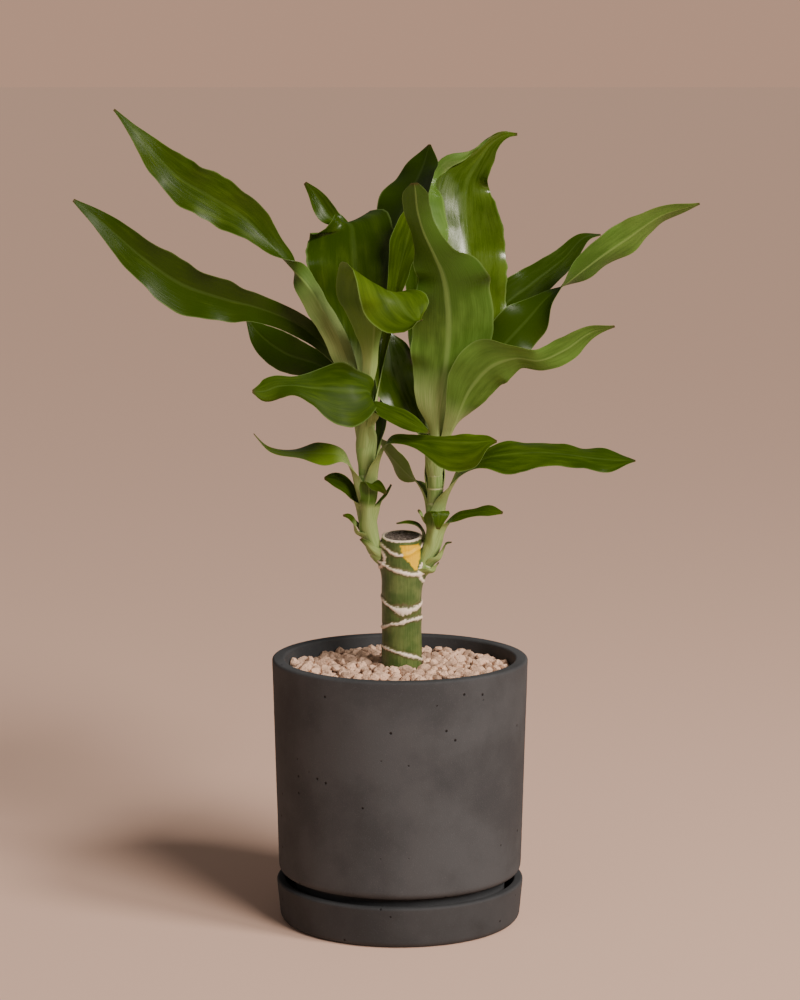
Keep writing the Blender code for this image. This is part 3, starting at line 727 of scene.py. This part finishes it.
def buildShoot(side, material):
    # round rings square to the centre line, pinched and swollen again at every joint of the stem
    stations = np.asarray(shootShape[side], float)
    knots = pathLength(stations[:, :3])
    samples = np.linspace(0.0, knots[-1], 150)
    values = smoothPath(knots, stations, samples)
    along = unit(np.gradient(values[:, :3], axis=0))
    across = np.tile((0.0, 1.0, 0.0), (len(values), 1))
    third = np.cross(along, across)
    joint = (samples / 8.5 + 0.2 * np.sin(samples / 11.0)) % 1.0
    radius = values[:, 3] * (1.0 + 0.05 * np.exp(-((joint - 0.06) / 0.06) ** 2) - 0.06
        * np.exp(-((joint - 0.18) / 0.05) ** 2))
    turn = np.linspace(0.0, circle, 40, endpoint=False)
    ring = radius[:, None, None] * (np.sin(turn)[None, :, None] * across[:, None]
        - np.cos(turn)[None, :, None] * third[:, None])
    rings = values[:, None, :3] + ring
    points, faces = capEnds(rings)
    ringMark = np.repeat(np.exp(-((joint - 0.14) / 0.035) ** 2), 40)
    return makePiece(side + "Stem", points, faces, [material], side + "_shoot",
        marks={"joint": np.r_[ringMark, 0, 0]})


# every leaf: the bearing it grows towards (degrees, 0 = +X, 90 = +Y) and its midrib stations
# station: x, y, z, full width, then roll of the blade (degrees), rise of both margins (degrees) and lean, the
# share by which the left half is wider than the right; these three are 0 where left out
leaves = {
    "left_scale_1": (250, (-16, -5.5, 220, 5, 0, 10), (-19.5, -6.5, 224, 5, 0, 10), (-23, -7, 227, 2)),
    "left_scale_2": (165, (-21.5, 5.5, 229, 5, 0, 10), (-24.5, 6, 233, 4, 0, 10), (-27, 6, 237, 2)),
    "left_scale_3": (
        190, (-25.5, -3, 230, 5, 0, 10), (-27, -4, 236, 6, -30, 10), (-30, -5, 239.5, 5, -30, 10),
        (-33, -6, 240.5, 2, -20),
    ),
    "left_leaf_1": (
        180, (-25.5, 2, 245, 5, 0, 10), (-28, 2, 252, 9, -35, 10), (-34, 2, 258.5, 12, -45),
        (-40, 1, 261, 8, -45), (-44, 0, 261.5, 2, -40),
    ),
    "left_leaf_2": (
        -75, (-19, -6.5, 242, 5, 0, 10), (-18, -8.5, 251, 10, 0, 15), (-17, -11, 260, 11, 0, 10),
        (-12, -13, 258.5, 6, 30), (-8, -13, 254.5, 2, 30),
    ),
    "left_leaf_3": (
        0, (-12.5, -1, 243, 4, 0, 10), (-11, -1, 248.5, 5, 20, 10), (-8, -1, 252, 4, 20, 10),
        (-5, -1, 258, 2, 20),
    ),
    "left_leaf_4": (
        186, (-26, -3, 258, 6, 0, 10), (-28, -6, 267, 8, -10, 20), (-34, -9, 276, 13, -27, 5),
        (-46, -12, 278, 20, -29, -8), (-61, -14, 278, 12, -21, 1), (-76, -17, 281, 7, -10, 5),
        (-84, -18, 290, 2),
    ),
    "left_leaf_5": (
        -25, (-14.5, -6, 261, 5, 0, 10), (-12, -10, 274, 9, 10, 20), (-5.5, -18, 285.5, 11, 25, 15),
        (4, -23, 286.5, 10, 25, 10), (11, -27, 287, 11, 32, 0, -0.2), (18, -30.5, 287.5, 15, 44, -14, -0.4),
        (27, -34.5, 287.5, 21, 54, -18, -0.5), (38, -38, 287.5, 22, 54, -18, -0.5),
        (46, -39.5, 288, 18, 46, -12, -0.3), (51, -40.5, 288.5, 9, 36, -5), (55, -41, 288.5, 2, 30),
    ),
    "left_leaf_6": (
        200, (-20, -7.5, 289, 5, 0, 10), (-17.5, -14, 303, 13, -15, 20), (-17.5, -23, 314.5, 22, -35, 10),
        (-25, -30, 316.5, 35, -60, -8, 0.2), (-36, -34, 317.5, 38, -60, -10, 0.15),
        (-50, -36, 318.5, 22, -48), (-61, -38, 320, 13, -45), (-69, -39, 319.5, 14, -60),
        (-77, -41, 317, 13, -62, -14), (-83.5, -42, 317, 2, -50),
    ),
    "left_leaf_7": (
        -30, (-14.5, -5, 286, 5, 0, 10), (-17, -9, 297, 7, 10, 20), (-16, -14, 305.5, 8, 30, 5),
        (-8, -19, 303, 10, 45), (1, -24, 299.5, 11, 50), (9.5, -28, 295.5, 8, 50), (16.5, -30, 292, 2, 45),
    ),
    "left_leaf_8": (
        172, (-26, 4, 298, 5, 0, 10), (-36, 11, 321, 10, -45, 9), (-50, 18, 327, 16, -74, 3),
        (-67, 26, 332, 22, -83), (-82, 33, 342, 15, -80), (-90, 36, 351, 2, -60),
    ),
    "left_leaf_9": (
        30, (-13.5, 4, 271, 5, 0, 10), (-11, 9, 287, 9, 0, 15), (-9.5, 14, 301, 11, 0, 15),
        (-7, 18, 313, 9, 0, 10), (-3, 21, 325, 2),
    ),
    "left_leaf_10": (
        200, (-25, -7, 307, 6, 0, 10), (-33, -13, 338, 17, 100, 14), (-44, -18, 361, 18, 112, 20),
        (-54, -22, 377, 15, 85, 34), (-61, -22, 385, 14, 10, 46), (-71, -23, 396, 14, -66, 31),
        (-87, -25, 413, 23, -90, 15), (-107, -28, 426, 27, -94, 14), (-125, -31, 437, 24, -92, 14),
        (-142, -34, 455, 13, -80, 8), (-160, -37, 475, 2, -40),
    ),
    "left_leaf_11": (
        182, (-27, -1, 302, 5, 0, 10), (-38, -5, 333, 10, -50, 15), (-56, -6, 350, 13, -80, 8),
        (-80, -7, 361, 16, -92, 11), (-102, -9, 367, 25, -94, 20, 0.1), (-126, -12, 376, 29, -92, 22, 0.1),
        (-147, -16, 391, 22, -88, 17), (-169, -20, 411, 12, -74, 8), (-185, -23, 424, 2, -50),
    ),
    "left_leaf_12": (
        80, (-23, 7, 309, 5, 0, 10), (-26, 15, 340, 30, 0, 14), (-25.5, 21, 366, 50, 0, 12),
        (-26.5, 25, 386, 56, 0, 10), (-27.5, 29, 399, 53, 0, 8), (-28.5, 33, 406, 44, 0, 4),
        (-31, 37, 408, 28, 0, 10), (-35, 40, 407.5, 14, 10, 15), (-39, 42, 409, 11, 25, 20),
        (-43, 43, 413, 13, 25, 25), (-46, 44, 418, 12, 25, 20), (-50, 44.5, 424, 8, 20), (-56, 45, 431, 2),
    ),
    "left_leaf_13": (
        -60, (-19.5, -6, 306, 5, 0, 10), (-17.2, -12, 323, 9, 0, 25), (-15.8, -18, 339, 13, 0, 25),
        (-14.8, -23, 351, 21, 0, 20, -0.1), (-13.8, -27, 361, 31, -12, 18, -0.2),
        (-12, -31, 370, 40, -34, 8, -0.4), (-8, -36, 374, 42, -26, 0, -0.4),
        (-3, -40.5, 371, 42, -6, -6, -0.2), (1.5, -44.5, 364.5, 38, 14, -12, -0.05),
        (6, -47.5, 359.5, 28, 24, -14), (9.5, -49.5, 357.5, 15, 20, -10), (12.5, -50.5, 358.5, 2, 10),
    ),
    "left_leaf_14": (
        70, (-16.5, 6.5, 309, 4, 0, 10), (-13.5, 24, 345, 18, -20, 15), (-9.5, 34, 375, 28, -30, 15),
        (-5, 40, 400, 36, -32, 15), (2, 45, 416, 42, -32, 12), (9, 51, 430, 42, -28, 10),
        (14, 56, 441, 26, -25, 8), (17.5, 60, 453, 2, -20),
    ),
    "left_leaf_15": (
        55, (-14.5, 1.5, 299, 4, 0, 10), (-9, 5, 335, 6, 0, 20), (-4, 7, 362, 8, 5, 15),
        (0, 9, 384, 14, 15, 8), (4.5, 11, 401, 19, 20, 8), (8, 12, 414, 13, 20, 5), (12, 13, 426, 2),
    ),
    "right_scale_1": (0, (20, -5.5, 208, 4, 0, 10), (21, -6, 210.5, 4, 0, 10), (22.5, -6.5, 213, 2)),
    "right_scale_2": (
        -10, (23, -5, 215, 5, 0, 10), (25, -5.5, 220, 6, 10, 10), (27, -6, 224, 5, 10, 10),
        (30, -6.5, 225, 2, 10),
    ),
    "right_scale_3": (
        170, (13.6, 2, 225, 4), (13.4, 1.5, 229.5, 5, 0, 10), (10.5, 0, 233.5, 6, 0, 15),
        (5, -1.5, 235.5, 5, -10, 10), (-2, -3, 235.5, 2, -10),
    ),
    "right_scale_4": (180, (14, -3, 237, 4, 0, 10), (12, -3.5, 241, 5, -20, 10), (10.5, -4, 243.5, 2, -30)),
    "right_leaf_1": (
        -80, (19, -7, 230, 5, 0, 10), (20, -10, 241, 11, 0, 15), (23, -13.5, 244, 12),
        (22.5, -15.5, 239, 7), (22, -16, 234, 2),
    ),
    "right_leaf_2": (
        -5, (25.5, -5, 231, 4, 0, 10), (29, -6, 237, 7, 20, 15), (35, -8, 241, 8, 30),
        (44, -10, 243, 8, 30), (53, -11, 244, 8, 40), (59.5, -12, 243, 2, 30),
    ),
    "right_leaf_3": (
        -8, (26, -4, 246, 5, 0, 10), (30, -9, 258, 10, 12, 20), (37, -11, 268, 13, 20, 14),
        (49, -14, 275, 19, 28, -3), (64, -17, 278, 30, 30, -10), (81, -18, 279, 28, 28, -9),
        (97, -20, 278, 20, 26, -7), (112, -21, 276, 23, 28, -10), (125, -22, 275, 16, 28, -8),
        (135, -24, 275, 2, 20),
    ),
    "right_leaf_4": (
        150, (15, 5, 249, 5, 0, 10), (10, 9, 258, 12, 20, 15), (3, 13, 264, 23, 48, 6),
        (-4, 17, 271, 27, 50, 4), (-10, 20, 278, 18, 40, 5), (-14, 22, 286, 2, 20),
    ),
    "right_leaf_5": (
        150, (14.5, 3.5, 279, 5, 0, 10), (8, 5, 296, 15, -25, 12), (2, 6.5, 309, 26, -38, 12),
        (-2.5, 8.5, 322, 30, -40, 12), (-5, 11, 335, 24, -40, 12), (-7, 13, 346, 2, -30),
    ),
    "right_leaf_6": (
        -35, (27, -5, 282, 5, 0, 10), (33, -15, 300, 15, -30, 20), (42, -23, 319, 29, -54, 11, -0.1),
        (54, -29, 331, 30, -58, 7, -0.15), (66, -32, 335, 18, -59), (79, -35, 334, 14, -63, 2),
        (93, -37, 340, 15, -62, 4), (109, -40, 351, 8, -46), (121, -42, 354, 2, -30),
    ),
    "right_leaf_7": (
        -90, (21.5, -6, 285, 6, 0, 10), (22.5, -10, 305, 26, 0, 20), (26, -14, 327, 39, 0, 18, -0.04),
        (27.5, -19, 346, 47, 0, 16, 0.04), (27, -26, 364, 47, 0, 14, 0.12), (24, -35, 382, 38, 0, 14, 0.22),
        (18.5, -45, 396, 22, 0, 20, -0.1), (13, -53, 408, 16, 0, 24), (9.5, -62, 421, 15, 0, 14),
        (8.5, -70, 431, 12, 0, 8), (8, -73, 435.5, 4),
    ),
    "right_leaf_8": (
        80, (23, 6, 285, 5, 0, 10), (32.5, 17, 322, 24, 6, 20), (40, 26, 350, 42, 16, 18),
        (41, 35, 375, 50, 22, 16, 0.1), (39.5, 45, 398, 54, 22, 16, 0.2), (38.5, 54, 418, 56, 18, 14, 0.35),
        (41, 60, 433, 45, 8, 10, 0.4), (47.5, 62, 444, 23, 0, 20, 0.2), (54, 62, 453, 12, 0, 20),
        (61, 61, 458, 6, 0, 10), (69.5, 60, 459, 2),
    ),
    "right_leaf_9": (
        15, (27, 1, 285, 6, 0, 10), (44, 4, 318, 18, 30, 20), (59, 8, 337, 27, 65, 5),
        (74, 12, 353, 26, 75), (86, 15, 366, 13, 30), (97, 18, 374, 14, -35, 4),
        (114, 20, 387, 21, -63, 11), (133, 22, 400, 23, -63, 11), (152, 21, 413, 15, -56, 5),
        (174, 19, 420, 2, -36),
    ),
    "right_leaf_10": (
        35, (26, 4, 279, 5, 0, 10), (44, 27, 330, 16, 25, 20), (59, 37, 357, 25, 43, 6),
        (77, 44, 371, 22, 46), (97, 50, 386, 14, 44), (111, 53, 399, 7, 24), (119, 54, 400, 2, 20),
    ),
    "right_leaf_11": (
        125, (17.5, 5.5, 280, 5, 0, 10), (13, 24, 325, 15, 0, 20), (10, 39, 360, 20, 0, 20),
        (10, 47, 385, 17, 0, 20), (13, 51, 404, 2),
    ),
    "left_back_leaf": (
        100, (-19.5, 6.5, 288, 5, 0, 10), (-21, 25, 318, 18, 0, 15), (-23, 48, 339, 32, 0, 5),
        (-25, 78, 348, 32, 0, -5), (-27, 104, 346, 18), (-28, 120, 340, 2),
    ),
    "right_back_leaf": (
        75, (20, 6.5, 272, 5, 0, 10), (22, 26, 306, 20, 0, 15), (26, 52, 330, 32, 0, 5),
        (29, 82, 343, 32, 0, -5), (31, 106, 341, 18), (32, 121, 335, 2),
    ),
}


leafStyle = {
    "sheath": 22.0,  # how far a leaf's base runs down its stem
    "tuck": 0.7,  # how deep the lower end of the base runs into the stem
    "scaleSheath": 5.0,
    "wrap": 115.0, "scaleWrap": 60.0,  # degrees of the stem that half a sheath covers
    "groove": 0.38, "ridge": 0.55, "ribHalf": 1.1,  # midrib: depth above, height below, half width
    "dryTip": 2.2, "stalkShare": 0.22, "scaleStalk": 8.0, "sharpAngle": 60,
    "thickness": 0.5,
    "ripple": 0.055,  # height of the wavy margin as a share of the width
    "waveEvery": 34.0,  # length of one wave along the margin
    "wander": 0.07,  # share of the width by which each margin wanders
    "unevenness": 0.7,
}
# margins that roll over: side (1 left of the growing direction seen from above, -1 right), share of the half
# width
# where the roll starts, degrees of roll, and where along the leaf it starts and ends
marginCurls = {
    "left_leaf_13": ((-1, 0.82, 50, 0.5, 0.75),),
    "right_leaf_8": ((1, 0.56, 205, 0.52, 0.93), (-1, 0.84, -50, 0.3, 0.86)),
    "right_leaf_5": ((-1, 0.7, 60, 0.5, 0.9),),
    "left_leaf_6": ((1, 0.7, -60, 0.72, 0.98), (-1, 0.6, 60, 0.45, 0.62)),
}
# colour shift of a leaf's lower and upper part, partly the leaf's own tone and partly painted light and shade
# for leaves that lie lit or in shade: above 0 fresher and brighter, below 0 deeper and darker
leafTonesWithPaintedShading = {
    "right_leaf_4": (0.6, 0.2),
    "right_leaf_7": (0.12, -0.9), "right_leaf_9": (-1.2, 0.2), "left_leaf_13": (0.45, 0.1),
    "left_leaf_4": (0.6, 0.5), "left_leaf_8": (-0.6, -0.6), "left_leaf_9": (-0.3, -0.3),
    "left_leaf_10": (-0.12, -0.12), "left_leaf_11": (-0.3, -0.2), "left_leaf_12": (-0.12, -0.12),
    "left_leaf_14": (-0.6, -0.6), "left_leaf_15": (0.05, 0.05), "left_leaf_5": (0.0, 0.05),
    "left_leaf_6": (-0.08, -0.05), "right_leaf_3": (-0.1, -0.05),
    "right_leaf_8": (0.2, 0.12), "right_leaf_10": (-0.2, -0.2), "right_leaf_11": (-0.3, -0.3),
    "right_leaf_6": (0.15, 0.15),
}
# gloss added to a leaf, or taken away below 0
leafShine = {"right_leaf_4": -1.0, "right_leaf_8": 1.0, "right_leaf_5": 1.0, "left_leaf_12": 0.3,
    "right_leaf_10": 0.6, "left_leaf_4": 0.6,
             "left_leaf_6": -2.0, "left_leaf_13": -1.5, "left_leaf_10": -0.2, "left_leaf_11": -0.2}
# length of the pale stalk where it differs from the usual share of the leaf
stalkLengths = {"left_leaf_13": 44.0, "left_leaf_10": 84.0, "left_leaf_4": 26.0, "left_leaf_5": 26.0,
    "right_leaf_3": 30.0, "right_leaf_7": 42.0}


def stemAt(side, height):
    # x, y and radius of the stem at a height, straight between its stations
    stations = np.asarray(shootShape[side], float)
    order = stations[:, 2]
    return [float(np.interp(height, order, stations[:, k])) for k in (0, 1, 3)]


def buildLeaf(name, rank, bearing, stations, materials):
    # the midrib is a smooth path; across it the blade bends more towards each margin; both faces are offset
    # from
    # that sheet, the upper one grooved and the lower one ridged along the midrib, and the margins wave
    rng = np.random.default_rng(100 + rank)
    side = name.split("_")[0]
    small = "scale" in name
    stations = [list(station) + [0] * (7 - len(station)) for station in stations]
    first = stations[0]
    stemX, stemY, stemRadius = stemAt(side, first[2])
    out = unit(np.array((first[0] - stemX, first[1] - stemY)))
    lift = 0.2 + 0.28 * (rank % 5)
    sheath = leafStyle["scaleSheath"] if small else leafStyle["sheath"]
    wrap = leafStyle["scaleWrap"] if small else leafStyle["wrap"]
    base = []
    for share, opening, depth in ((1.0, wrap, leafStyle["tuck"]), (0.45, wrap * 0.95, 0.0)):
        height = first[2] - sheath * share
        x, y, radius = stemAt(side, height)
        reach = radius + (0.0 if depth else lift) - depth
        base.append([x + out[0] * reach, y + out[1] * reach, height, 2 * reach * math.radians(opening), 0,
            opening, 0])
    first[3] = max(first[3], 2 * (stemRadius + lift) * math.radians(wrap * 0.62))
    first[5] = wrap * 0.66
    values = np.asarray(base + stations, float)
    knots = pathLength(values[:, :3])
    rows = 26 if small else int(np.clip(knots[-1] / 1.6, 34, 110))
    half = 5 if small else 9
    samples = np.linspace(0.0, knots[-1], rows)
    path = smoothPath(knots, values, samples)
    midrib, width = path[:, :3], np.maximum(path[:, 3], 0.7)
    attached = knots[2]
    freed = ease(samples, knots[1], knots[3])
    wander = swell(np.stack((samples, 0 * samples, 0 * samples), 1), 24.0, 500 + rank)
    lean = path[:, 6:7] + (leafStyle["wander"] * wander * freed)[:, None]
    startBearing = math.atan2(out[1], out[0])
    swing = np.angle(np.exp(1j * (math.radians(bearing) - startBearing)))
    heading = startBearing + swing * ease(samples, attached, knots[min(4, len(knots) - 1)])
    along = unit(np.gradient(midrib, axis=0))
    level = np.stack((-np.sin(heading), np.cos(heading), np.zeros(rows)), 1)
    across = unit(level - (along * level).sum(1)[:, None] * along)
    upper = np.cross(along, across)
    # slope of the sheet at each share of the half width, added up outwards from the midrib
    share = np.linspace(0.0, 1.0, half)
    middle = (share[1:] + share[:-1]) / 2
    bend = np.radians(path[:, 5])[:, None] * (middle[None] ** (1.0 - 0.5 * freed[:, None])) * (1.0 + 0.25
        * freed[:, None])
    curl = {1: np.zeros_like(bend), -1: np.zeros_like(bend)}
    alongShare = (samples / knots[-1])[:, None]
    for which, fromShare, degrees, start, end in marginCurls.get(name, ()):
        reachOfCurl = ease(alongShare, start - 0.08, start + 0.08) * (1.0
            - ease(alongShare, end - 0.06, end + 0.06))
        curl[which] = curl[which] + math.radians(degrees) * reachOfCurl * ease(middle[None], fromShare,
            fromShare + 0.3)
    roll = np.radians(path[:, 4])[:, None]
    step = (width / 2 / (half - 1))[:, None]
    outwards = [np.concatenate((np.zeros((rows, 1)), np.cumsum(step * (1 + lean) * trig, axis=1)), 1)
                for trig in (np.cos(roll + bend + curl[1]), np.sin(roll + bend + curl[1]))]
    inwards = [np.concatenate((np.zeros((rows, 1)), np.cumsum(-step * (1 - lean) * trig, axis=1)), 1)
               for trig in (np.cos(roll - bend - curl[-1]), np.sin(roll - bend - curl[-1]))]
    sideways = np.concatenate((inwards[0][:, :0:-1], outwards[0]), 1)
    upwards = np.concatenate((inwards[1][:, :0:-1], outwards[1]), 1)
    sheet = midrib[:, None] + sideways[..., None] * across[:, None] + upwards[..., None] * upper[:, None]
    normal = unit(np.cross(np.gradient(sheet, axis=0), np.gradient(sheet, axis=1)))
    u = np.linspace(-1.0, 1.0, 2 * half - 1)[None]
    waves = knots[-1] / leafStyle["waveEvery"]
    phase = samples / knots[-1] * waves * circle + 2.6 * swell(np.stack((samples, 0 * samples, 0 * samples),
        1), 90.0, 200 + rank)
    openness = (ease(samples, attached, attached + 0.35 * (knots[-1] - attached))
        * (1 - 0.5 * ease(samples, 0.9 * knots[-1], knots[-1])))[:, None]
    wave = np.sin(phase[:, None] + np.sign(u) * (1.2 + rng.random())) * np.abs(u) ** 2.0
    drift = swell(sheet, 38.0, 300 + rank, 2) * leafStyle["unevenness"]
    sheet = sheet + normal * (openness
        * (leafStyle["ripple"] * width[:, None] * wave + drift * np.abs(u)))[..., None]
    normal = unit(np.cross(np.gradient(sheet, axis=0), np.gradient(sheet, axis=1)))
    distance = np.abs(u) * width[:, None] / 2
    rib = np.exp(-((distance / leafStyle["ribHalf"]) ** 2)) * (1.0 - 0.75 * samples / knots[-1])[:, None]
    thick = leafStyle["thickness"] * (0.5 - 0.28 * u**2) * np.ones_like(distance)
    above = sheet + normal * (thick - leafStyle["groove"] * rib * openness)[..., None]
    under = sheet - normal * (thick + leafStyle["ridge"] * rib)[..., None]
    rings = np.concatenate((under, above[:, ::-1]), axis=1)
    columns = rings.shape[1]
    faces = ringFaces(rows, columns)
    kinds = np.tile(np.r_[np.ones(2 * half - 2), 0, np.zeros(2 * half - 2), 0], rows - 1)
    column = np.arange(2 * half - 2)
    mate = columns - 1 - column
    last = (rows - 1) * columns
    ends = np.concatenate((np.stack((column + 1, column, mate, mate - 1), 1),
        np.stack((column, column + 1, mate - 1, mate), 1) + last))
    faces = np.concatenate((faces, ends))
    kinds = np.r_[kinds, np.zeros(len(ends))]
    stalk = stalkLengths.get(name, leafStyle["scaleStalk"] if small else leafStyle["stalkShare"]
        * (knots[-1] - attached))
    pale = 1.0 - ease(samples, attached + 0.4 * stalk, attached + 1.1 * stalk)
    dry = ease(samples, knots[-1] - leafStyle["dryTip"], knots[-1] - 0.3) * 0.8
    uAll = np.r_[u[0], u[0][::-1]]
    plan = np.stack((np.tile(0.5 + 0.5 * uAll, rows), np.repeat(samples / 20.0 + rank * 3.7, columns)), 1)
    # each leaf's tone shift: partly its own colour, partly painted light and shade
    toneLow, toneHigh = leafTonesWithPaintedShading.get(name, (0.0, 0.0))
    tone = toneLow + (toneHigh - toneLow) * ease(alongShare[:, 0], 0.4, 0.85)
    marks = {
        "paleness": np.repeat(pale, columns), "dryness": np.repeat(dry, columns),
        "shine": np.full(rows * columns, leafShine.get(name, 0.0)),
        "freshnessWithPaintedShading": np.repeat(tone + 0.1 * swell(midrib, 70.0, 400 + rank), columns),
    }
    piece = makePiece(name.replace("_", "") + "Blade", rings.reshape(-1, 3), faces, materials,
        name,
                      faceKinds=kinds, marks=marks, uv=plan)
    piece.data.set_sharp_from_angle(angle=math.radians(leafStyle["sharpAngle"]))
    return piece


stageLook = {
    "floor": (0.86, 0.59, 0.46),
    "floorSize": 60.0, "roughness": 0.9, "specular": 0.1,
    "backdrop": (0.53, 0.318, 0.225),
    "air": (0.125, 0.112, 0.105),
    "cameraPlace": (0.0, -1.718, 0.501),
    "cameraDown": 8.35,
    "lens": 107.3,
}
# lights: where from, size across in metres or degrees, strength, colour
lights = {
    "sunLight": ("SUN", (0.77, -1.06, 1.01), 22.0, 2.8, (1.0, 0.91, 0.84)),
    "keyLight": ("AREA", (1.14, -0.74, 1.29), 0.42, 19.0, (1.0, 0.91, 0.84)),
    "fillLight": ("AREA", (-1.2, -1.6, 0.9), 1.4, 1.6, (1.0, 0.95, 0.92)),
}


def buildStage():
    size = stageLook["floorSize"]
    mesh = bpy.data.meshes.new("floor")
    mesh.from_pydata([(-size, -size, 0), (size, -size, 0), (size, size, 0), (-size, size, 0)], [],
        [(0, 1, 2, 3)])
    material, tree, shader = startMaterial("floorPaper", stageLook)
    shader.inputs["Base Color"].default_value = (*stageLook["floor"], 1.0)
    mesh.materials.append(material)
    floor = bpy.data.objects.new("floor", mesh)
    bpy.context.scene.collection.objects.link(floor)
    world = bpy.data.worlds.new("studioAir")
    bpy.context.scene.world = world
    world.use_nodes = True
    tree = world.node_tree
    seen = addNode(tree, "ShaderNodeLightPath").outputs["Is Camera Ray"]
    tree.links.new(blendColour(tree, seen, stageLook["air"], stageLook["backdrop"]),
        tree.nodes["Background"].inputs["Color"])


def buildLights():
    for name, (kind, place, size, strength, colour) in lights.items():
        lamp = bpy.data.lights.new(name, kind)
        if kind == "SUN":
            lamp.angle = math.radians(size)
        else:
            lamp.shape = "DISK"
            lamp.size = size
        lamp.energy = strength
        lamp.color = colour
        holder = bpy.data.objects.new(name, lamp)
        holder.location = place
        holder.rotation_euler = (Vector((0, 0, 0.22)) - Vector(place)).to_track_quat("-Z", "Y").to_euler()
        holder.visible_glossy = name == "keyLight"  # only one light leaves highlights
        bpy.context.scene.collection.objects.link(holder)


def buildCamera():
    lens = bpy.data.cameras.new("camera")
    lens.lens = stageLook["lens"]
    lens.sensor_width = 36.0
    camera = bpy.data.objects.new("camera", lens)
    camera.location = stageLook["cameraPlace"]
    camera.rotation_euler = (math.radians(90.0 - stageLook["cameraDown"]), 0.0, 0.0)
    bpy.context.scene.collection.objects.link(camera)
    bpy.context.scene.camera = camera


buildStage()
buildLights()
buildCamera()
print("stage, lights and camera ready")

grainGroup = makeGrainGroup()
veinGroup = makeVeinGroup()
leafTop = makeLeafMaterial("leafUpperFace", leafLook["upper"])
leafUnder = makeLeafMaterial("leafUnderside", leafLook["under"])
stemSkin = makeShootSkin()
print("materials ready")

buildSaucer(makeConcrete("saucerConcrete", 0.75))
buildPot(makeConcrete("potConcrete", 1.0))
print("pot and saucer ready")
buildBed(makeSoil())
buildStones(makePumice())
print("granules ready")
buildCane(makeBark())
buildShoot("left", stemSkin)
buildShoot("right", stemSkin)
print("cane and stems ready")
for rank, (name, (bearing, *stations)) in enumerate(leaves.items()):
    buildLeaf(name, rank, bearing, stations, [leafTop, leafUnder])
print(len(leaves), "leaves ready")
